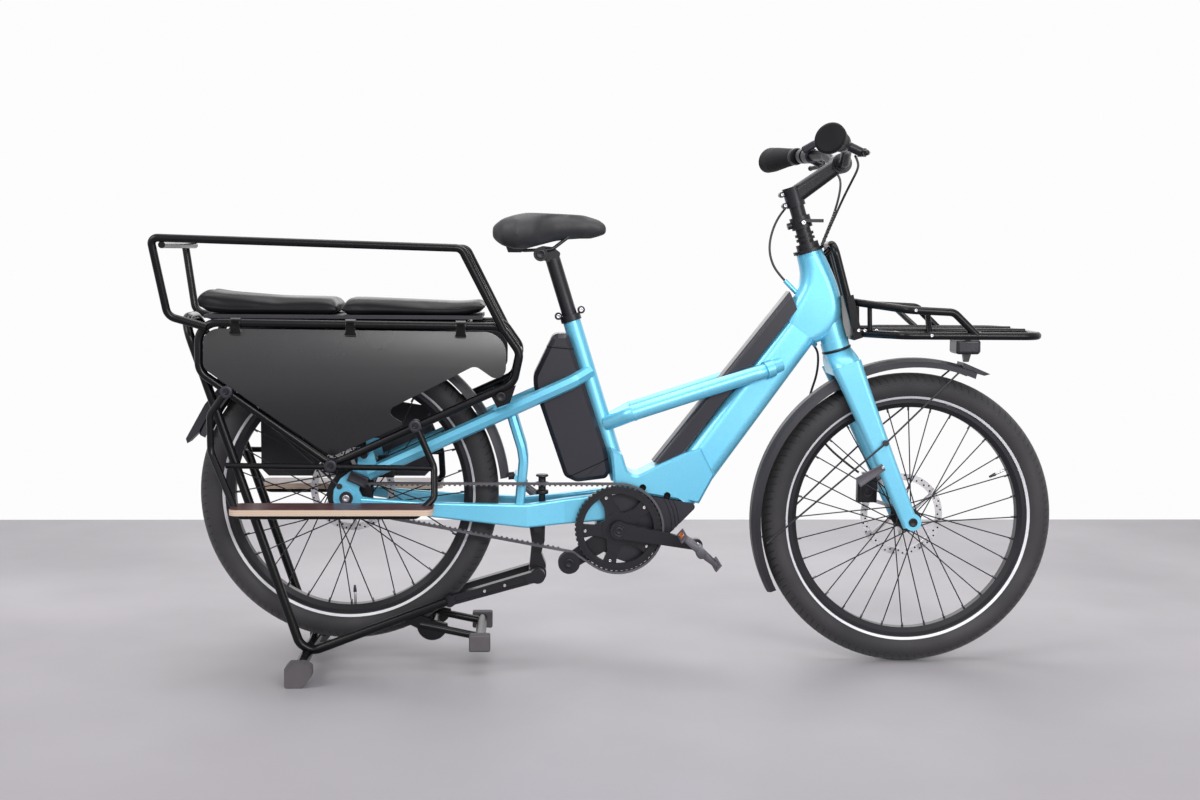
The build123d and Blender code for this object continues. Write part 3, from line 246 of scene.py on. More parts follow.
def make_surface_group():
    """Mottled colour, patchy roughness and a fine grain, for every hard or soft finish."""
    tree, start, end = add_group("surface_finish", {
        "Base": (0.1, 0.1, 0.1, 1), "Shade": (0.08, 0.08, 0.08, 1), "Patch Scale": 9.0,
        "Grain Scale": 900.0, "Smooth": 0.4, "Rough": 0.55})
    place = add_object_place(tree)
    patches = add_noise(tree, place, start["Patch Scale"], 4.0)
    soft = add_range(tree, patches, 0.35, 0.65, 0.0, 1.0)
    wire(
        tree, end, Color=add_blend(tree, soft, start["Base"], start["Shade"]),
        Roughness=add_range(tree, patches, 0.3, 0.7, start["Smooth"], start["Rough"]),
        Height=add_noise(tree, place, start["Grain Scale"], 2.0))
    return tree


def make_flake_group():
    """Fine metal flakes under a colour, with a slow drift from light to dark."""
    tree, start, end = add_group("metal_flake", {
        "Light": (0.2, 0.6, 0.8, 1), "Deep": (0.1, 0.4, 0.6, 1), "Flake Scale": 1400.0})
    place = add_object_place(tree)
    cells = add_node(tree, "TexVoronoi", Vector=place, Scale=start["Flake Scale"])
    glint = add_node(tree, "SeparateColor", Color=cells.outputs["Color"]).outputs
    drift = work(tree, "MULTIPLY", add_noise(tree, place, 3.0, 2.0), 0.65)
    share = work(tree, "ADD", work(tree, "MULTIPLY", glint[0], 0.25), drift)
    wire(
        tree, end, Color=add_blend(tree, share, start["Light"], start["Deep"]),
        Roughness=add_range(tree, glint[1], 0.0, 1.0, 0.3, 0.42), Height=glint[2])
    return tree


def make_tread_group():
    """Slanted grooves, a rib line and a dashed ring of a tyre, about its own axle; the grooves give painted
    shade to the colour and depth to the bump.
    """
    tree, start, end = add_group(
        "tread_and_wall", {"Axle": (0.0, 0.0, 0.0), "Blocks": 116.0}, ("Groove", "Height"))
    do = partial(work, tree)
    slant = 34.0
    groove_share = 0.28
    tread_edge = 0.2955
    rib_side, rib_half = 0.0125, 0.0011
    ring_radius, ring_half = 0.2925, 0.0008
    dashes, dash_share = 58.0, 0.74
    place = add_node(tree, "VectorMath")
    place.operation = "SUBTRACT"
    feed(tree, place.inputs[0], add_object_place(tree))
    feed(tree, place.inputs[1], start["Axle"])
    x, across, z = split_vector(tree, place.outputs[0])
    y = do("ABSOLUTE", across)
    radius = do("SQRT", do("ADD", do("MULTIPLY", x, x), do("MULTIPLY", z, z)))
    turn = do("DIVIDE", do("ARCTAN2", z, x), 2 * math.pi)
    slanted = do("ADD", do("MULTIPLY", turn, start["Blocks"]), do("MULTIPLY", y, slant))
    cross_cut = do("LESS_THAN", do("FRACT", slanted), groove_share)
    on_tread = do("GREATER_THAN", radius, tread_edge)
    rib = do("LESS_THAN", do("ABSOLUTE", do("SUBTRACT", y, rib_side)), rib_half)
    cut = do("MULTIPLY", on_tread, do("MAXIMUM", cross_cut, rib))
    ring = do("LESS_THAN", do("ABSOLUTE", do("SUBTRACT", radius, ring_radius)), ring_half)
    dash = do("LESS_THAN", do("FRACT", do("MULTIPLY", turn, dashes)), dash_share)
    # The groove mask darkens the colour as painted shade in the grooves, and its inverse is the bump's height.
    groove_relief_and_shade = do("MAXIMUM", cut, do("MULTIPLY", do("MULTIPLY", ring, dash), 0.6))
    wire(tree, end, Groove=groove_relief_and_shade, Height=do("SUBTRACT", 1.0, groove_relief_and_shade))
    return tree


def make_board_group():
    """Stained face on top and below, pale layers of veneer along the edge."""
    tree, start, end = add_group("layered_board", {
        "Stain": (0.1, 0.03, 0.03, 1), "Veneer": (0.6, 0.45, 0.35, 1), "Layer": 0.0024})
    place = add_object_place(tree)
    long = add_node(tree, "Mapping", Vector=place, Scale=(3.0, 60.0, 60.0))
    grain = add_noise(tree, long.outputs[0], 6.0, 6.0)
    layers = work(tree, "FRACT", work(tree, "DIVIDE", split_vector(tree, place)[2], start["Layer"]))
    dark_layer = work(tree, "MULTIPLY", work(tree, "LESS_THAN", layers, 0.32), 0.45)
    upright = split_vector(tree, add_node(tree, "NewGeometry").outputs["Normal"])[2]
    flat = work(tree, "GREATER_THAN", work(tree, "ABSOLUTE", upright), 0.6)
    veneer = add_blend(tree, dark_layer, start["Veneer"], (0.28, 0.17, 0.11, 1))
    streaks = add_range(tree, grain, 0.35, 0.65, 0.0, 1.0)
    stain = add_blend(tree, streaks, start["Stain"], (0.035, 0.014, 0.015, 1))
    wire(
        tree, end, Color=add_blend(tree, flat, veneer, stain),
        Roughness=add_range(tree, grain, 0.3, 0.7, 0.3, 0.5), Height=grain)
    return tree


surface_group = make_surface_group()
flake_group = make_flake_group()
tread_group = make_tread_group()
board_group = make_board_group()


# ---- materials
def shade(red, green, blue):
    """A colour as the eye names it, from 0 to 255, made linear."""
    channels = []
    for value in (red, green, blue):
        share = value / 255
        channels.append(share / 12.92 if share <= 0.04045 else ((share + 0.055) / 1.055) ** 2.4)
    return (*channels, 1.0)


def new_material(name, **sockets):
    """A Principled material; sockets gives the shader's own inputs."""
    material = bpy.data.materials.new(name)
    material.use_nodes = True
    tree = material.node_tree
    return material, tree, wire(tree, tree.nodes["Principled BSDF"], **sockets)


def place_group(tree, group, **values):
    node = add_node(tree, "Group")
    node.node_tree = group
    return wire(tree, node, **values).outputs


def add_bump(tree, height, strength, distance):
    """Bump of a height socket; distance is in millimetres."""
    return add_node(tree, "Bump", Height=height, Strength=strength, Distance=distance * MM).outputs[0]


def wire_group(tree, shader, group, strength, distance):
    """Feeds a group's colour, roughness and height to the shader."""
    wire(
        tree, shader, Base_Color=group["Color"], Roughness=group["Roughness"],
        Normal=add_bump(tree, group["Height"], strength, distance))


def plain_finish(
        name, base, dark, smooth_end, rough_end, grain, depth, strength, patch, metal=0, specular=0.5, coat=0,
        coat_rough=0.03):
    """A finish from the shared surface group; colours from 0 to 255, depth in millimetres."""
    material, tree, shader = new_material(
        name, Metallic=metal, Specular_IOR_Level=specular, Coat_Weight=coat, Coat_Roughness=coat_rough)
    group = place_group(
        tree, surface_group, Base=shade(*base), Shade=shade(*dark), Patch_Scale=patch, Grain_Scale=grain,
        Smooth=smooth_end, Rough=rough_end)
    wire_group(tree, shader, group, strength, depth)
    return material


def paint_finish():
    material, tree, shader = new_material(
        "blue_metallic_paint", Metallic=0.45, Coat_Weight=0.5, Coat_Roughness=0.1, Coat_IOR=1.45)
    group = place_group(
        tree, flake_group, Light=shade(140, 219, 241), Deep=shade(50, 160, 205), Flake_Scale=1500.0)
    wire_group(tree, shader, group, 0.04, 0.05)
    return material


def tyre_finish(name, axle):
    material, tree, shader = new_material(name, Sheen_Weight=0.15, Sheen_Roughness=0.5)
    tread = place_group(tree, tread_group, Axle=tuple(axle), Blocks=116.0)
    rubber = place_group(
        tree, surface_group, Base=shade(44, 41, 44), Shade=shade(34, 32, 35), Patch_Scale=6.0,
        Grain_Scale=700.0, Smooth=0.62, Rough=0.8)
    height = work(tree, "ADD", tread["Height"], work(tree, "MULTIPLY", rubber["Height"], 0.05))
    # The tread's grooves are painted near black: painted shade in its recesses.
    wire(
        tree, shader, Base_Color=add_blend(tree, tread["Groove"], rubber["Color"], shade(14, 13, 15)),
        Roughness=rubber["Roughness"], Normal=add_bump(tree, height, 1.0, 2.0))
    return material


def board_finish():
    material, tree, shader = new_material("stained_board", Coat_Weight=0.15, Coat_Roughness=0.3)
    group = place_group(tree, board_group, Stain=shade(84, 50, 50), Veneer=shade(206, 184, 164), Layer=0.004)
    wire_group(tree, shader, group, 0.25, 0.4)
    return material


finishes = {
    "frame_paint": paint_finish(),
    "board_wood": board_finish(),
    "front_tyre": tyre_finish("front_tyre_rubber", front_axle),
    "rear_tyre": tyre_finish("rear_tyre_rubber", rear_axle),
}
# Columns: material, two colours, least and greatest roughness, grain scale, bump depth and strength,
# patch scale, metal share, specular level, clear coat and the coat's roughness.
plain_rows = {
    "black_tube": ("black_powder_coat", (14, 13, 16), (9, 9, 12), 0.2, 0.3, 1600, 0.12, 0.15, 9, 0, 0.22),
    "black_alloy": ("black_anodised_alloy", (36, 34, 39), (27, 26, 30), 0.28, 0.42, 1200, 0.1, 0.15, 9, 0.35,
        0.42),
    "matte_black_plastic": ("matt_moulded_plastic", (44, 42, 48), (36, 34, 40), 0.42, 0.54, 700, 0.2, 0.3, 9,
        0, 0.35),
    "satin_black_plastic": ("satin_moulded_plastic", (40, 39, 47), (32, 31, 39), 0.28, 0.38, 1000, 0.1, 0.2, 9,
        0, 0.42),
    "cable_rubber": ("hose_sheath", (26, 25, 28), (19, 18, 21), 0.4, 0.55, 1500, 0.1, 0.3, 9),
    "soft_rubber": ("grip_rubber", (22, 21, 24), (15, 14, 17), 0.62, 0.8, 1300, 0.4, 0.5, 9, 0, 0.2),
    "foot_rubber": ("grey_foot_rubber", (84, 80, 83), (66, 63, 66), 0.6, 0.8, 600, 0.4, 0.4, 9),
    "disc_steel": ("ground_steel", (214, 213, 215), (188, 187, 190), 0.22, 0.4, 1800, 0.1, 0.2, 30, 1.0),
    "belt_rubber": ("belt_rubber", (86, 83, 88), (66, 64, 69), 0.5, 0.68, 1100, 0.3, 0.4, 9),
    "pad_cover": ("black_vinyl", (17, 16, 19), (11, 10, 13), 0.34, 0.44, 520, 0.2, 0.25, 12, 0, 0.16),
    "lamp_lens": ("clear_lamp_lens", (206, 208, 214), (188, 190, 197), 0.05, 0.12, 300, 0.6, 0.4, 9, 0, 0.5,
        1.0, 0.03),
    "tail_lens": ("red_lamp_lens", (150, 16, 24), (112, 8, 16), 0.08, 0.18, 260, 0.6, 0.5, 9, 0, 0.5, 0.8,
        0.05),
    "pedal_alloy": ("cast_grey_alloy", (92, 89, 95), (72, 70, 76), 0.42, 0.6, 800, 0.3, 0.4, 9, 0.35),
    "bolt_steel": ("bolt_steel", (198, 196, 200), (160, 158, 163), 0.22, 0.38, 2000, 0.1, 0.3, 9, 1.0),
    "spoke_steel": ("dark_spoke_steel", (92, 90, 96), (74, 72, 78), 0.25, 0.4, 2000, 0.1, 0.3, 9, 0.8),
    "stripe_white": ("reflecting_stripe", (238, 237, 240), (222, 221, 226), 0.4, 0.55, 1500, 0.1, 0.3, 9),
    "saddle_vinyl": ("saddle_vinyl", (40, 38, 41), (33, 31, 34), 0.5, 0.62, 620, 0.3, 0.35, 14),
    "side_panels": ("side_panel_plastic", (16, 15, 20), (11, 10, 14), 0.25, 0.31, 900, 0.12, 0.25, 5, 0, 0.62),
    # Near black, for the clip covers and the motor's bolt plugs, and as painted shade in the rotor holes and
    # the battery's seams.
    "near_black_and_painted_shade": ("near_black_and_painted_shade", (8, 8, 9), (5, 5, 6), 0.5, 0.7, 900, 0.2, 0.3, 9, 0, 0.12),
    "amber_lens": ("amber_reflector", (214, 110, 24), (180, 84, 12), 0.1, 0.2, 240, 0.8, 0.6, 9, 0, 0.5, 0.8,
        0.05),
}
for row_slot, row in plain_rows.items():
    finishes[row_slot] = plain_finish(*row)


def dress_nodes():
    """Gives each construction node the finish of its own name, or else of its slot."""
    slots = {part["node"]: part["material_slot"] for part in frame["record"]["subparts"]}
    for name, node in nodes.items():
        finish = finishes.get(name) or finishes[slots[name]]
        if not node.material_slots:
            node.data.materials.append(finish)
        for slot in node.material_slots:
            slot.material = finish


SATIN, ALLOY, STEEL = "satin_black_plastic", "black_alloy", "disc_steel"
# The near black finish is also painted shade in the rotor holes and the battery's seams.
BOLT, NEAR_BLACK_AND_SHADE = "bolt_steel", "near_black_and_painted_shade"


# ---- modelling helpers
def deselect():
    bpy.ops.object.select_all(action="DESELECT")


def make_active(piece):
    deselect()
    piece.select_set(True)
    bpy.context.view_layer.objects.active = piece


def finish_primitive(name):
    """Names a new primitive and moves its place and turn into its mesh."""
    piece = bpy.context.object
    piece.name = name
    piece.data.name = name
    make_active(piece)
    bpy.ops.object.transform_apply(location=True, rotation=True, scale=True)
    return piece


def add_cylinder(name, radius, length, sides, centre=None, along=UP):
    """A cylinder to start from, in millimetres, standing on Z = 0 where no centre is given."""
    deselect()
    if centre is None:
        centre = mm(0, 0, length / 2)
    bpy.ops.mesh.primitive_cylinder_add(
        vertices=sides, radius=radius * MM, depth=length * MM, location=centre,
        rotation=along.to_track_quat("Z", "Y").to_euler())
    return finish_primitive(name)


def add_box(name, size, centre=ORIGIN):
    """A box to start from, with its size in millimetres."""
    deselect()
    bpy.ops.mesh.primitive_cube_add(size=1.0, location=centre)
    bpy.context.object.scale = mm(*size)
    return finish_primitive(name)


def open_edit(piece, kind="FACE", action="DESELECT"):
    make_active(piece)
    bpy.ops.object.mode_set(mode="EDIT")
    bpy.ops.mesh.select_mode(type=kind)
    bpy.ops.mesh.select_all(action=action)


def close_edit():
    bpy.ops.object.mode_set(mode="OBJECT")


def pick(piece, wanted, kind="faces"):
    """Selects the faces, edges or points that a test chooses; the piece is in edit mode."""
    mesh = bmesh.from_edit_mesh(piece.data)
    for element in getattr(mesh, kind):
        element.select_set(bool(wanted(element)))
    mesh.select_flush_mode()
    bmesh.update_edit_mesh(piece.data)


def pick_facing(piece, along):
    """Selects the faces that look along a direction."""
    pick(piece, lambda face: face.normal.dot(along) > 0.9)


def extrude(x, y, z, *shares):
    """Extrudes the selected faces by millimetres, then scales them where shares are given."""
    bpy.ops.mesh.extrude_region_move(TRANSFORM_OT_translate={"value": tuple(mm(x, y, z))})
    if shares:
        resize(*shares)


def inset(width, each=False):
    bpy.ops.mesh.inset(thickness=width * MM, use_individual=each)


def resize(x, y, z, **about):
    bpy.ops.transform.resize(value=(x, y, z), **about)


def step_faces(piece, along, *steps):
    """Steps the faces that look along a direction, by (inset, rise) pairs of millimetres."""
    open_edit(piece)
    pick_facing(piece, along)
    for width, rise in steps:
        inset(width)
        extrude(*(along * rise))
    close_edit()


def scale_faces(piece, along, x, y, z):
    """Scales the faces that look along a direction."""
    open_edit(piece)
    pick_facing(piece, along)
    resize(x, y, z)
    close_edit()


def apply_modifier(piece, kind, **settings):
    make_active(piece)
    modifier = piece.modifiers.new(kind.lower(), kind)
    for label, value in settings.items():
        setattr(modifier, label, value)
    bpy.ops.object.modifier_apply(modifier=modifier.name)


def soften_edges(piece, width, segments=2, angle=35.0):
    """Rounds the edges, by a width in millimetres."""
    apply_modifier(
        piece, "BEVEL", width=width * MM, segments=segments, limit_method="ANGLE",
        angle_limit=math.radians(angle))


def smooth(piece, angle=35.0):
    make_active(piece)
    bpy.ops.object.shade_smooth_by_angle(angle=math.radians(angle))


def settle(piece, width, place=None, segments=2):
    """Rounds and shades a piece and moves its mesh to its place."""
    soften_edges(piece, width, segments)
    smooth(piece)
    if place is not None:
        piece.data.transform(place)
    return piece


def outward(piece):
    """Merges doubles and points every face outward."""
    open_edit(piece, "VERT", "SELECT")
    bpy.ops.mesh.remove_doubles(threshold=1e-6)
    bpy.ops.mesh.normals_make_consistent(inside=False)
    close_edit()


def copy_piece(source, name, place=None):
    """A copy with its own mesh, moved by a matrix where one is given."""
    piece = source.copy()
    piece.data = source.data.copy()
    piece.name = name
    piece.data.name = name
    scene.collection.objects.link(piece)
    if place is not None:
        piece.data.transform(place)
    return piece


def join_pieces(name, pieces):
    make_active(pieces[0])
    for piece in pieces:
        piece.select_set(True)
    bpy.ops.object.join()
    pieces[0].name = name
    pieces[0].data.name = name
    return pieces[0]


def set_copies(name, source, places):
    """Copies of a source at each place, joined into one piece; the source is removed."""
    copies = [copy_piece(source, f"{name}_{index}", place) for index, place in enumerate(places)]
    bpy.data.objects.remove(source)
    return join_pieces(name, copies)


def give(piece, slot, body, finish=None):
    """Gives a piece the finish of its slot, or the named finish where one is given, and sets its body."""
    piece.data.materials.clear()
    piece.data.materials.append(finishes[finish or slot])
    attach(piece, body)
    return piece


def keep_slice(piece, centre, along, width, grow):
    """Cuts a piece down to the slice across a direction, and stands it a little proud."""
    for sign in (-1, 1):
        open_edit(piece, "VERT", "SELECT")
        bpy.ops.mesh.bisect(
            plane_co=centre + along * sign * width * MM / 2, plane_no=along * sign, use_fill=True,
            clear_outer=True)
        close_edit()
    outward(piece)
    open_edit(piece, "VERT", "SELECT")
    bpy.ops.transform.shrink_fatten(value=grow * MM)
    close_edit()
    smooth(piece, 40)


def copy_node_part(name, node, wanted=None):
    """A merged copy of a node's mesh, or of its points that a test accepts."""
    piece = copy_piece(nodes[node], name)
    piece.parent = None
    piece.matrix_world = Matrix.Identity(4)
    open_edit(piece, "VERT", "SELECT")
    bpy.ops.mesh.remove_doubles(threshold=1e-5)
    if wanted:
        pick(piece, lambda vertex: not wanted(vertex.co), "verts")
        bpy.ops.mesh.delete(type="VERT")
    close_edit()
    return piece


# ---- bolts
def model_bolt(name, radius, height, socket):
    """A socket head with a rounded rim, seated on Z = 0."""
    bolt = add_cylinder(name, radius, height, 24)
    step_faces(bolt, UP, (radius - socket, -height * 0.6))
    return settle(bolt, radius * 0.12)


def both_sides(kind, x, y, z):
    """The same bolt on the bike's right and left."""
    return [(kind, spot(x, side * y, z), along) for side, along, _ in SIDES]


def add_bolts():
    """Bolt heads; a row is a piece, its slot, body and finish, and (kind, centre, direction) places."""
    sources = {
        "small": model_bolt("bolt_small", 3.2, 2.6, 1.6),
        "medium": model_bolt("bolt_medium", 4.6, 3.4, 2.3),
        "large": model_bolt("bolt_large", 7.5, 4.0, 3.6),
        "axle": model_bolt("bolt_axle", 9.5, 2.4, 5.6),
    }
    chainring_places = []
    for index in range(5):
        turn = math.radians(72 * index + 40)
        place = spot(CRANK_X + 70 * math.cos(turn), -64, CRANK_Z + 70 * math.sin(turn))
        chainring_places.append(("small", place, RIGHT))
    rows = (
        ("frame_bolts", STEEL, "frame", BOLT,
         both_sides("large", 0, 83.6, REAR_AXLE_HEIGHT)
         + both_sides("small", 1159, 158, 766) + both_sides("small", 1193, 158, 715)
         + [("medium", spot(x, y, z), RIGHT) for x, y, z in (
             (438, -5.2, 743), (486, -5.2, 757), (1310, -13.1, 700))]
         + [("small", spot(x, -70, 720), RIGHT) for x in (1062, 1075, 1100)]),
        ("foot_frame_bolts", ALLOY, "frame", None,
         [bolt for x, z in FOOT_FRAME_JOINTS for bolt in both_sides("medium", x, 137, z)]),
        ("steering_bolts", STEEL, "steering", BOLT,
         [("small", spot(1121, -70.6, 432), RIGHT), ("medium", head_spot(276, 0, -30), RIGHT),
          ("small", head_spot(320, -24, -9), RIGHT), ("small", head_spot(344, -24, -9), RIGHT)]),
        ("front_axle_ends", ALLOY, "steering", None,
         [("axle", front_axle + along * 65 * MM, along) for along in (RIGHT, LEFT)]),
        ("loop_bolts", ALLOY, "frame", None,
         both_sides("axle", 319.5, 118.5, 583) + both_sides("axle", 400, 26, 873)
         + [("axle", spot(462, -71.3, 228), RIGHT)]),
        ("chainring_bolts", STEEL, "crankset", BOLT, chainring_places),
        ("kickstand_bolts", STEEL, "kickstand", BOLT,
         [bolt for reach in (72, 116)
          for bolt in both_sides("small", 396 - 0.961 * reach, 51, 197 - 0.276 * reach)]),
    )
    for name, slot, body, finish, places in rows:
        copies = [
            copy_piece(sources[kind], f"{name}_{index}", aim(centre, along))
            for index, (kind, centre, along) in enumerate(places)]
        give(join_pieces(name, copies), slot, body, finish)
    for source in sources.values():
        bpy.data.objects.remove(source)


# ---- collars, caps and clips
def model_collar(name, inner, outer, height):
    """An open ring with rounded rims, standing on Z = 0."""
    collar = add_cylinder(name, outer, height, 48)
    open_edit(collar)
    pick(collar, lambda face: abs(face.normal.z) > 0.9)
    inset(outer - inner, each=True)
    bpy.ops.mesh.bridge_edge_loops()
    close_edit()
    outward(collar)
    return settle(collar, min(height, outer - inner) * 0.18)


def add_headset_ring():
    """The dark bearing ring under the head tube."""
    ring = model_collar("headset_ring_lower", 20.6, 31.5, 4.6)
    ring.data.transform(aim(head_spot(-5.4), head_up))
    give(ring, ALLOY, "steering")


def add_crank_caps():
    """Stepped caps over the axle on both cranks."""
    for side, along, word in SIDES:
        cap = add_cylinder(f"crank_cap_{word}", 12, 2.4, 40)
        step_faces(cap, UP, (1.6, -0.9), (3.2, 0.7), (3.0, -1.6))
        settle(cap, 0.3, aim(spot(CRANK_X, side * 90, CRANK_Z), along))
        give(cap, ALLOY, "crankset")


def add_axle_plates():
    """Black recessed plates under the rear axle's bolts."""
    for side, along, word in SIDES:
        plate = add_cylinder(f"axle_plate_{word}", 14, 3.2, 40)
        step_faces(plate, UP, (3, -0.8))
        settle(plate, 0.5, aim(spot(0, side * 80.5, REAR_AXLE_HEIGHT), along))
        give(plate, SATIN, "frame")


def add_foot_frame_clamps():
    """Round clamps where the foot frames bolt to the side loops."""
    for side, along, word in SIDES:
        source = model_collar("clamp_source", 4.6, 12.5, 26)
        places = [aim(spot(x, side * 111, z), along) for x, z in FOOT_FRAME_JOINTS]
        give(set_copies(f"foot_frame_clamps_{word}", source, places), SATIN, "frame")


def model_clip_cover():
    """A strap cover with a broader foot and a sunk panel, facing the bike's right."""
    cover = add_box("clip_source", (17, 3.4, 21), mm(0, 0, 4.5))
    open_edit(cover)
    pick_facing(cover, -UP)
    extrude(0, 0, -4, 1.3, 1, 1)
    extrude(0, 0, -3)
    pick(cover, lambda face: face.normal.y < -0.9 and face.calc_center_median().z > -4 * MM)
    inset(4)
    extrude(0, 1, 0)
    close_edit()
    outward(cover)
    return settle(cover, 1.1)


def add_clip_covers():
    """Three covers on each side, where the panel hangs from the loop's sloping top."""
    for side, _, word in SIDES:
        places = []
        for x in (-214, 16, 238):
            loop_height = 731 - (x + 290) * 5 / 610
            half_turn = Matrix.Rotation(math.pi if side > 0 else 0, 4, "Z")
            places.append(Matrix.Translation(spot(x, side * 122.6, loop_height - 8)) @ half_turn)
        covers = set_copies(f"panel_clips_{word}", model_clip_cover(), places)
        give(covers, "black_tube", "frame", NEAR_BLACK_AND_SHADE)


def add_sensor_box():
    """The small box on the right dropout, with a sunk side."""
    box = add_box("speed_sensor_box", (40, 12, 22))
    step_faces(box, RIGHT, (4, -1.4))
    settle(box, 1.6, tilt(spot(25, -84.5, 408), 24), 3)
    give(box, SATIN, "frame")


def add_cradle_plugs():
    """Rubber plugs over the motor's bolts."""
    source = add_cylinder("plug_source", 7, 4, 32, mm(0, 0, 1))
    step_faces(source, UP, (2.2, -1.6))
    settle(source, 0.6)
    places = [
        aim(spot(x, side * 44, z), along) for x, z in ((617, 385), (669, 368)) for side, along, _ in SIDES]
    give(set_copies("motor_bolt_plugs", source, places), "soft_rubber", "frame", NEAR_BLACK_AND_SHADE)


def add_rotor_holes():
    """Two rows of cooling holes in each brake rotor's ring, as black inlays of painted shade in place of open
    holes.
    """
    count = 54
    for label, axle, offset in (("front", front_axle, 38), ("rear", rear_axle, 44)):
        source = add_cylinder("hole_source", 2.1, 2.3, 10, ORIGIN)
        open_edit(source)
        pick(source, lambda face: abs(face.normal.z) > 0.9)
        inset(0.5, each=True)
        close_edit()
        places = [
            aim(wheel_spot(axle, 86 if index % 2 else 80, 360 * index / count, offset), LEFT)
            for index in range(count)]
        holes = set_copies(f"{label}_rotor_holes", source, places)
        give(holes, ALLOY, f"{label}_wheel", NEAR_BLACK_AND_SHADE)


# ---- pedals
def model_cage_plate(name, place):
    """One toothed end plate of a pedal's cage."""
    length = 84 * MM
    teeth = 13
    plate = add_box(name, (4, 84, 13), place)
    open_edit(plate, "EDGE")
    pick(plate, lambda edge: abs((edge.verts[0].co - edge.verts[1].co).y) > length / 2, "edges")
    bpy.ops.mesh.subdivide(number_cuts=teeth - 1)
    bpy.ops.mesh.select_mode(type="FACE")
    pick(plate, lambda face: abs(face.normal.z) > 0.9
               and int((face.calc_center_median().y + length / 2) * teeth / length) % 2 == 0)
    bpy.ops.mesh.extrude_faces_move(TRANSFORM_OT_shrink_fatten={"value": 2.6 * MM})
    close_edit()
    soften_edges(plate, 0.5, 1)
    return plate


def model_barrel(name):
    """The waisted barrel round a pedal's axle."""
    barrel = add_cylinder(name, 10.5, 20, 24, mm(0, -32, 0), LEFT)
    open_edit(barrel)
    for step, share in ((14, 0.72), (16, 1.0), (14, 1.38)):
        pick_facing(barrel, LEFT)
        extrude(0, step, 0, share, 1, share)
    close_edit()
    soften_edges(barrel, 0.8)
    return barrel


def model_cage_arm(name, y, lean):
    """A cross arm of the cage, thicker at the barrel than at its ends."""
    arm = add_box(name, (30, 6, 11))
    open_edit(arm)
    for sign in (-1, 1):
        pick_facing(arm, FORWARD * sign)
        extrude(sign * 30, sign * lean, 0, 1, 0.8, 0.62)
    close_edit()
    soften_edges(arm, 0.9)
    arm.data.transform(Matrix.Translation(mm(0, y, 0)))
    return arm


def model_pedal_cage(name):
    parts = [
        model_cage_plate(f"{name}_plate_rear", mm(-46, 0, 0)),
        model_cage_plate(f"{name}_plate_front", mm(46, 0, 0)),
        model_barrel(f"{name}_barrel"),
    ]
    for index, (y, lean) in enumerate(((-37, 0), (-12, -9), (12, 9), (37, 0))):
        parts.append(model_cage_arm(f"{name}_arm_{index}", y, lean))
    cage = join_pieces(name, parts)
    outward(cage)
    smooth(cage)
    return cage


def model_pedal_axle(name):
    """The axle's end with a flange; it points along Z."""
    axle = add_cylinder(name, 6, 24, 24, ORIGIN)
    open_edit(axle)
    pick_facing(axle, UP)
    extrude(0, 0, 1, 1.35, 1.35, 1)
    extrude(0, 0, 4)
    close_edit()
    return settle(axle, 0.5)


def model_pedal_reflectors(name):
    """A bar with a sunk face on each end plate of the cage."""
    bars = []
    for sign in (-1, 1):
        bar = add_box(f"{name}_{sign + 1}", (3, 40, 10), mm(sign * 48, 0, 0))
        step_faces(bar, FORWARD * sign, (2, -0.8))
        bars.append(settle(bar, 0.6))
    return join_pieces(name, bars)


def add_pedals():
    """Cage pedals on their axles, with amber reflectors let into both end plates."""
    for side, along, word in SIDES:
        x = CRANK_X - side * CRANK_LENGTH * math.cos(CRANK_ANGLE)
        z = CRANK_Z - side * CRANK_LENGTH * math.sin(CRANK_ANGLE)
        place = tilt(spot(x, side * 142, z), 40)
        cage = model_pedal_cage(f"{word}_pedal_cage")
        cage.data.transform(place)
        give(cage, "pedal_alloy", f"{word}_pedal")
        axle = model_pedal_axle(f"{word}_pedal_axle")
        axle.data.transform(aim(spot(x, side * 88.5, z), along))
        give(axle, STEEL, f"{word}_pedal", BOLT)
        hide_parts(f"pedal_{word}")
        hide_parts(f"pedal_{word}")
        reflectors = model_pedal_reflectors(f"{word}_pedal_reflectors")
        reflectors.data.transform(place)
        give(reflectors, "tail_lens", f"{word}_pedal", "amber_lens")


# ---- calipers, trims and fittings
def model_caliper_half(name, size, boss_radius):
    """Half of a caliper: a rounded block with a stepped piston boss on its -Y face."""
    half = add_box(name, size)
    step_faces(half, RIGHT, (3, 1.2))
    soften_edges(half, 3.4, 3, 60)
    boss = add_cylinder(name + "_boss", boss_radius, 3, 32, mm(0, -size[1] / 2 - 2, 0), RIGHT)
    step_faces(boss, RIGHT, (2.4, -1.2), (2.6, 0.8))
    soften_edges(boss, 0.4)
    return join_pieces(name, [half, boss])


def model_caliper(name, centre, size, bridge):
    """Two halves, the bridge over the rotor, cooling fins and the pads' post; sizes in millimetres."""
    slot_width = 6.5
    x, y, z = centre
    wide, deep, tall = size
    thick = (deep - slot_width) / 2
    offset = (slot_width + thick) / 2
    half = model_caliper_half(name + "_half", (wide, thick, tall), min(wide, tall) * 0.3)
    left_place = Matrix.Translation(spot(x, y + offset, z)) @ Matrix.Rotation(math.pi, 4, "Z")
    halves = set_copies(name, half, [Matrix.Translation(spot(x, y - offset, z)), left_place])
    top = z + tall / 2
    blocks = [((9, deep, tall * 0.7), bridge, 2.2, 3)]
    for index in range(5):
        blocks.append(((wide * 0.5, deep * 0.8, 1.6), (x, y, top + 1.2 + index * 3.2), 0.5, 2))
    blocks.append(((wide * 0.3, deep * 0.5, 16), (x, y, top + 6), 1.2, 2))
    parts = [halves]
    for index, (block_size, place, width, segments) in enumerate(blocks):
        block = add_box(f"{name}_block_{index}", block_size, spot(*place))
        soften_edges(block, width, segments)
        parts.append(block)
    caliper = join_pieces(name, parts)
    smooth(caliper)
    return caliper


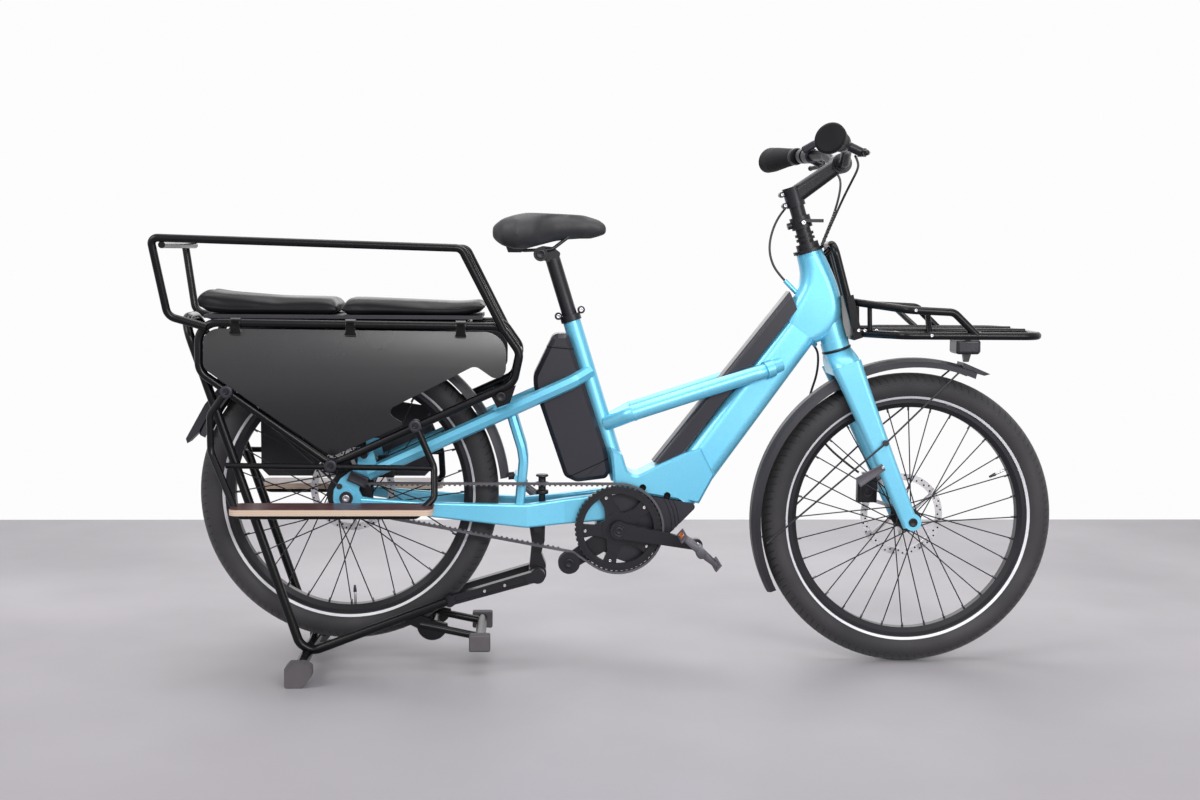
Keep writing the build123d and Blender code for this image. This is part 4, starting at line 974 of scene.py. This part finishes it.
def add_calipers():
    """The front caliper with its bracket, and a detailed cover over the rear one."""
    front = model_caliper("front_caliper_cover", (1112, 38, 366), (42, 21, 50), (1095, 38, 366))
    bracket = add_box("front_caliper_bracket", (60, 7, 22))
    scale_faces(bracket, FORWARD, 1, 1, 1.5)
    settle(bracket, 1.6, tilt(spot(1132, 50, 388), -12), 3)
    give(front, ALLOY, "steering")
    give(bracket, "pedal_alloy", "steering")
    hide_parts("front_caliper")
    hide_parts("front_caliper")
    rear = model_caliper("rear_caliper_cover", (66, 44, 410), (46, 28, 30), (46, 44, 412))
    give(rear, ALLOY, "frame")


def add_fork_leg_arm():
    """The tapered grey arm bolted across the right fork leg."""
    arm = add_box("fork_leg_arm", (64, 3, 15))
    scale_faces(arm, -FORWARD, 1, 1, 1.5)
    step_faces(arm, RIGHT, (2.6, -0.9))
    settle(arm, 1.0, tilt(spot(1096, -69.2, 416), -32))
    give(arm, "pedal_alloy", "steering")


def add_grip_trims():
    """Alloy rings at the inner ends of the grips, and screwed caps in the bar's ends."""
    for side, _, word in SIDES:
        end = spot(944, 356 * side, 1101)
        along = (end - spot(1020, 110 * side, 1092)).normalized()
        ring = copy_node_part(f"grip_ring_{word}", "grips", lambda place: place.y * side > 0)
        keep_slice(ring, end - along * 120 * MM, along, 9, 1.4)
        give(ring, ALLOY, "steering")
        cap = add_cylinder(f"grip_cap_{word}", 13, 3, 40)
        step_faces(cap, UP, (2.2, -1.0), (5.2, 0.8), (2.0, -1.4))
        settle(cap, 0.4, aim(end + along * 2.6 * MM, along))
        give(cap, SATIN, "steering")


def add_seams():
    """Dark lines of painted shade round the second battery's cap and foot, where its seams are."""
    for name, centre, along in (
            ("battery_cap_seam_shade", spot(440, 0, 678), Vector((0.087, 0, 0.996))),
            ("battery_foot_seam_shade", spot(500, 0, 424), Vector((-0.42, 0, 0.907)))):
        seam = copy_node_part(name, "rear_battery")
        keep_slice(seam, centre, along, 1.4, 0.35)
        give(seam, SATIN, "frame", NEAR_BLACK_AND_SHADE)


def add_saddle_bracket():
    """The moulded mount under the saddle's rear."""
    block = add_box("saddle_rear_mount", (40, 30, 16), spot(346, 0, 884))
    scale_faces(block, -UP, 0.7, 0.7, 1)
    step_faces(block, -UP, (3, -3))
    settle(block, 1.6, segments=3)
    give(block, SATIN, "frame")


def add_stand_post():
    """The ribbed post that holds the kickstand's bolt, between the chain stays."""
    post = add_cylinder("stand_post", 7, 67, 32, spot(405, -30, 334.5))
    steps = (
        (2, 1.9), (7, 1.0), (2, 0.6), (8, 1.0), (2, 1.8), (5, 1.0), (2, 0.55), (9, 1.0), (2, 1.7), (4, 0.9))
    open_edit(post)
    for step, share in steps:
        top = max(vertex.co.z for vertex in bmesh.from_edit_mesh(post.data).verts) - 1e-5
        pick(post, lambda face: face.normal.z > 0.9 and face.calc_center_median().z > top)
        extrude(0, 0, step, share, share, 1)
    close_edit()
    outward(post)
    settle(post, 0.5)
    give(post, ALLOY, "frame")


# ---- wheels
def add_stripe(name, axle, side, body):
    """The reflecting band round a tyre's wall, just above the rim."""
    section_middle = 283.5
    section_radius = 30.35
    inner = 259.7
    outer = 264.3
    inner_side = math.sqrt(section_radius ** 2 - (section_middle - inner) ** 2)
    outer_side = math.sqrt(section_radius ** 2 - (section_middle - outer) ** 2)
    deselect()
    bpy.ops.mesh.primitive_circle_add(
        vertices=160, radius=inner * MM, fill_type="NOTHING",
        location=(axle.x, side * inner_side * MM, axle.z), rotation=(math.pi / 2, 0, 0))
    stripe = finish_primitive(name)
    open_edit(stripe, "EDGE", "SELECT")
    extrude(0, side * (outer_side - inner_side), 0)
    grow = outer / inner
    resize(grow, 1, grow, center_override=(axle.x, side * outer_side * MM, axle.z))
    bpy.ops.mesh.select_all(action="SELECT")
    bpy.ops.mesh.normals_make_consistent(inside=False)
    close_edit()
    apply_modifier(stripe, "SOLIDIFY", thickness=0.5 * MM, offset=0.0)
    outward(stripe)
    smooth(stripe, 50)
    give(stripe, "tyre_rubber", body, "stripe_white")


def add_nipples(name, axle, body):
    """Spoke nipples where each spoke meets the rim, leaning to each side in turn."""
    source = add_cylinder("nipple_source", 2.3, 11, 8, ORIGIN)
    soften_edges(source, 0.4, 1)
    count = 32
    places = []
    for index in range(count):
        centre = wheel_spot(axle, 237, 360 * index / count, -3 if index % 2 else 3)
        places.append(aim(centre, (centre - axle).normalized()))
    nipples = set_copies(name, source, places)
    smooth(nipples)
    give(nipples, STEEL, body, "spoke_steel")


def add_valve(name, axle, degrees, body):
    """Valve stem through the rim with its black cap."""
    inward = -wheel_spot(ORIGIN, 1000, degrees, 0).normalized()
    foot = wheel_spot(axle, 240, degrees, 0)
    stem = settle(add_cylinder(name, 2.6, 30, 16, foot + inward * 12 * MM, inward), 0.4)
    give(stem, STEEL, body, BOLT)
    cap = add_cylinder(name + "_cap", 3.9, 15, 16, foot + inward * 32 * MM, inward)
    scale_faces(cap, inward, 0.6, 0.6, 0.6)
    give(settle(cap, 0.6), SATIN, body)


def add_wheel_details():
    for label, axle in (("front", front_axle), ("rear", rear_axle)):
        for side, _, word in SIDES:
            add_stripe(f"{label}_stripe_{word}", axle, side, f"{label}_wheel")
        add_nipples(f"{label}_nipples", axle, f"{label}_wheel")
    add_valve("front_valve", front_axle, 26, "front_wheel")
    add_valve("rear_valve", rear_axle, -88, "rear_wheel")


# ---- soft goods
PAD_CAP = 7
SADDLE_CAP = 6
CURL_REACH = 75
CURL_LIFT = 9
CLOTH_FRAMES = 20


def extent(piece, axis):
    """The least and greatest place of a piece's points along an axis."""
    places = [vertex.co[axis] for vertex in piece.data.vertices]
    return min(places), max(places)


def remesh(piece):
    make_active(piece)
    piece.data.remesh_voxel_size = 5 * MM
    bpy.ops.object.voxel_remesh()


def shrink(piece, share_x, share_y, share_z):
    """Leaves room for the swelling inside the solid's box."""
    open_edit(piece, "VERT", "SELECT")
    centre = sum((Vector(corner) for corner in piece.bound_box), Vector()) / 8
    resize(share_x, share_y, share_z, center_override=centre)
    close_edit()


def inflate(piece, cap, floor=None, soothe=0):
    """Swells a closed cover by cloth pressure; no point moves further than the cap in millimetres,
    or ends below the floor's height."""
    before = [vertex.co.copy() for vertex in piece.data.vertices]
    make_active(piece)
    cloth = piece.modifiers.new("cloth", "CLOTH")
    cloth.settings.use_pressure = True
    cloth.settings.uniform_pressure_force = 4.0
    cloth.settings.quality = 5
    cloth.settings.effector_weights.gravity = 0.0
    cloth.point_cache.frame_start = 1
    cloth.point_cache.frame_end = CLOTH_FRAMES
    for step in range(1, CLOTH_FRAMES + 1):
        scene.frame_set(step)
    bpy.ops.object.modifier_apply(modifier="cloth")
    scene.frame_set(1)
    for vertex, start in zip(piece.data.vertices, before):
        move = vertex.co - start
        if move.length > cap * MM:
            vertex.co = start + move * (cap * MM / move.length)
    if soothe:
        apply_modifier(piece, "SMOOTH", factor=0.6, iterations=soothe)
    if floor is not None:
        for vertex in piece.data.vertices:
            vertex.co.z = max(vertex.co.z, floor)
    apply_modifier(piece, "SUBSURF", levels=1, render_levels=1)
    smooth(piece, 180)


def curl_end(piece, end, inward, lift):
    """Lifts a pad's end in a smooth curve, underside and all."""
    for vertex in piece.data.vertices:
        near = 1 - max(0.0, (vertex.co.x - end) * inward) / (CURL_REACH * MM)
        if near > 0:
            vertex.co.z += lift * MM * near ** 2


def model_pad(name, wanted):
    """One long seat pad: crowned top, rolled edges, flat on the deck, as long as its solid."""
    piece = copy_node_part(name, "seat_pads", wanted)
    full_low, full_high = extent(piece, 0)
    shrink(piece, 0.985, 0.93, 0.9)
    remesh(piece)
    low = extent(piece, 2)[0]
    half = extent(piece, 1)[1]
    for vertex in piece.data.vertices:
        if vertex.co.z > low + 8 * MM:
            vertex.co.z -= 7 * MM * (vertex.co.y / half) ** 4
    apply_modifier(piece, "SMOOTH", factor=0.6, iterations=5)
    inflate(piece, PAD_CAP, floor=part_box("seat_deck")[1].z + 0.4 * MM, soothe=14)
    low_x, high_x = extent(piece, 0)
    margin = 1.5 * MM
    stretch = (full_high - full_low - 2 * margin) / (high_x - low_x)
    for vertex in piece.data.vertices:
        vertex.co.x = full_low + margin + (vertex.co.x - low_x) * stretch
    return piece


def add_pads():
    """Two pads in place of the solid ones, each with a line of piping above the deck."""
    low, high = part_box("seat_pads")
    split = rear_axle.x - 10 * MM
    rear = model_pad("rear_seat_pad", lambda place: place.x < split)
    curl_end(rear, low.x, 1, CURL_LIFT)
    front = model_pad("front_seat_pad", lambda place: place.x > split)
    curl_end(front, high.x, -1, CURL_LIFT)
    for piece in (rear, front):
        give(piece, "pad_cover", "frame")
    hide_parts("seat_pads")
    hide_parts("seat_pads")
    for piece, word, end, inward in ((rear, "rear", low.x, 1), (front, "front", high.x, -1)):
        lip = copy_piece(piece, f"{word}_pad_piping")
        curl_end(lip, end, inward, -CURL_LIFT)
        keep_slice(lip, Vector((0, 0, low.z + 10 * MM)), UP, 3.4, 1.8)
        curl_end(lip, end, inward, CURL_LIFT)
        give(lip, "pad_cover", "frame")


def add_saddle():
    """Moulded saddle cover, swollen and smooth."""
    piece = copy_node_part("saddle_cover", "saddle")
    shrink(piece, 0.97, 0.94, 0.9)
    remesh(piece)
    apply_modifier(piece, "SMOOTH", factor=0.7, iterations=12)
    inflate(piece, SADDLE_CAP)
    give(piece, "pad_cover", "frame", "saddle_vinyl")
    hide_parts("saddle")


# ---- cords
CORD_RADIUS = 2.5

LOOP_ROUTE = [
    (934, 14, 992), (911, 24, 966), (893, 25, 930), (885, 20, 892), (890, 13, 860), (905, 7, 834),
    (930, 1, 808)]
FORK_ROUTE = [
    (978, 14, 690), (994, 25, 677), (1000, 36, 650), (998, 46, 614), (988, 54, 580), (982, 60, 542),
    (996, 65, 502), (1024, 66, 464), (1058, 60, 432), (1096, 46, 404)]


def bar_route(side):
    return [
        (1022, 184 * side, 1072), (1038, 142 * side, 1062), (1046, 98 * side, 1050), (1044, 56 * side, 1030),
        (1034, 26 * side, 998), (1021, 11 * side, 962), (1007, 6 * side, 928), (994, 5 * side, 894)]


def lay_spline(name, places, radius, roundness, steps):
    """A tube along a smooth NURBS spline; roundness and steps set how finely it is meshed."""
    curve = bpy.data.curves.new(name, "CURVE")
    curve.dimensions = "3D"
    curve.bevel_depth = radius * MM
    curve.bevel_resolution = roundness
    curve.resolution_u = steps
    curve.use_fill_caps = True
    spline = curve.splines.new("NURBS")
    spline.points.add(len(places) - 1)
    for point, place in zip(spline.points, places):
        point.co = (*place, 1.0)
    spline.order_u = 3
    spline.use_endpoint_u = True
    piece = bpy.data.objects.new(name, curve)
    scene.collection.objects.link(piece)
    return piece


def trace_route(route):
    """The points along the spline of a route, read from a curve without a tube."""
    guide = lay_spline("guide", [spot(*place) for place in route], 0.0, 4, 16)
    line = bpy.data.meshes.new_from_object(guide)
    path = [tuple(vertex.co) for vertex in line.vertices]
    bpy.data.meshes.remove(line)
    bpy.data.objects.remove(guide)
    return path


def lay_cord(name, route):
    piece = lay_spline(name, [spot(*place) for place in route], CORD_RADIUS, 4, 16)
    piece.data.materials.append(finishes["cable_rubber"])
    return piece


def make_mesh(piece):
    make_active(piece)
    bpy.ops.object.convert(target="MESH")


def wind_wrap(name, route):
    """A spiral band round both bar hoses, where they run together above the head tube."""
    turns = 11
    steps = 14
    top = 0.972
    path = [Vector(place) for place in trace_route(route) if place[2] < top]
    points = []
    for index in range(turns * steps + 1):
        along = index / (turns * steps) * (len(path) - 1)
        first = path[int(along)]
        second = path[min(int(along) + 1, len(path) - 1)]
        centre = first.lerp(second, along - int(along))
        turn = 2 * math.pi * index / steps
        half = abs(centre.y) + 3.6 * MM
        points.append((centre.x + 3.7 * MM * math.cos(turn), half * math.sin(turn), centre.z))
    wrap = lay_spline(name, points, 0.9, 1, 2)
    make_mesh(wrap)
    return give(wrap, "cable_rubber", "steering", SATIN)


def add_cords():
    """The bar hoses ride with the steering, the right one with a spiral wrap; the other two cords are laid as
    plain meshes in place of their nodes.
    """
    for side, _, word in SIDES:
        route = bar_route(side)
        piece = lay_cord(f"{word}_bar_hose", route)
        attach(piece, "steering")
        wraps = [wind_wrap("hose_wrap", route)] if side < 0 else []
        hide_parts(f"{word}_hose")
    for node, route, length, upper, lower, bent_share in (
            ("loop_cable", LOOP_ROUTE, 0.214, "steering", "frame", 1.0),
            ("fork_hose", FORK_ROUTE, 0.350, "frame", "steering", 0.4)):
        piece = lay_cord(f"{node}_cover", route)
        make_mesh(piece)
        smooth(piece, 60)
        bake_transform(piece)
        trace_route(route)
        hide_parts(node)


# ---- floor
def add_floor():
    """A plain pale floor that ends a little way behind the bike, with painted shade darkening it near the
    camera and painted light brightening it far from its middle.
    """
    deselect()
    bpy.ops.mesh.primitive_plane_add(size=1.0, location=(0, -2.14, -0.0005))
    floor = bpy.context.object
    floor.scale = (16.0, 7.72, 1.0)
    finish_primitive("studio_floor")
    open_edit(floor, action="SELECT")
    bpy.ops.mesh.subdivide(number_cuts=3)
    close_edit()
    material = plain_finish("pale_floor", (176, 172, 176), (166, 162, 166), 0.5, 0.62, 90, 0.2, 0.1, 1.6)
    tree = material.node_tree
    shader = tree.nodes["Principled BSDF"]
    colour = shader.inputs["Base Color"].links[0].from_socket
    place = add_object_place(tree)
    # Painted shade: the floor is darkened towards the camera.
    painted_shade_near_camera = add_range(tree, split_vector(tree, place)[1], 0.5, -1.4, 0.0, 1.0)
    colour = add_blend(tree, painted_shade_near_camera, colour, shade(142, 138, 143))
    # Painted light: the floor is brightened far from its middle, where the lamps' light falls off.
    reach = add_node(tree, "VectorMath", Vector=place)
    reach.operation = "LENGTH"
    outer = add_range(tree, reach.outputs["Value"], 2.6, 6.0, 0.0, 1.0)
    wire(tree, shader, Base_Color=add_blend(tree, outer, colour, shade(236, 233, 237)))
    floor.data.materials.append(material)


add_camera()
add_cords()
dress_nodes()
add_pads()
add_saddle()
add_wheel_details()
add_bolts()
add_headset_ring()
add_crank_caps()
add_axle_plates()
add_foot_frame_clamps()
add_clip_covers()
add_sensor_box()
add_cradle_plugs()
add_rotor_holes()
add_pedals()
add_calipers()
add_fork_leg_arm()
add_grip_trims()
add_seams()
add_saddle_bracket()
add_stand_post()
add_floor()
add_lights()
add_backdrop()
scene.view_settings.view_transform = "Standard"
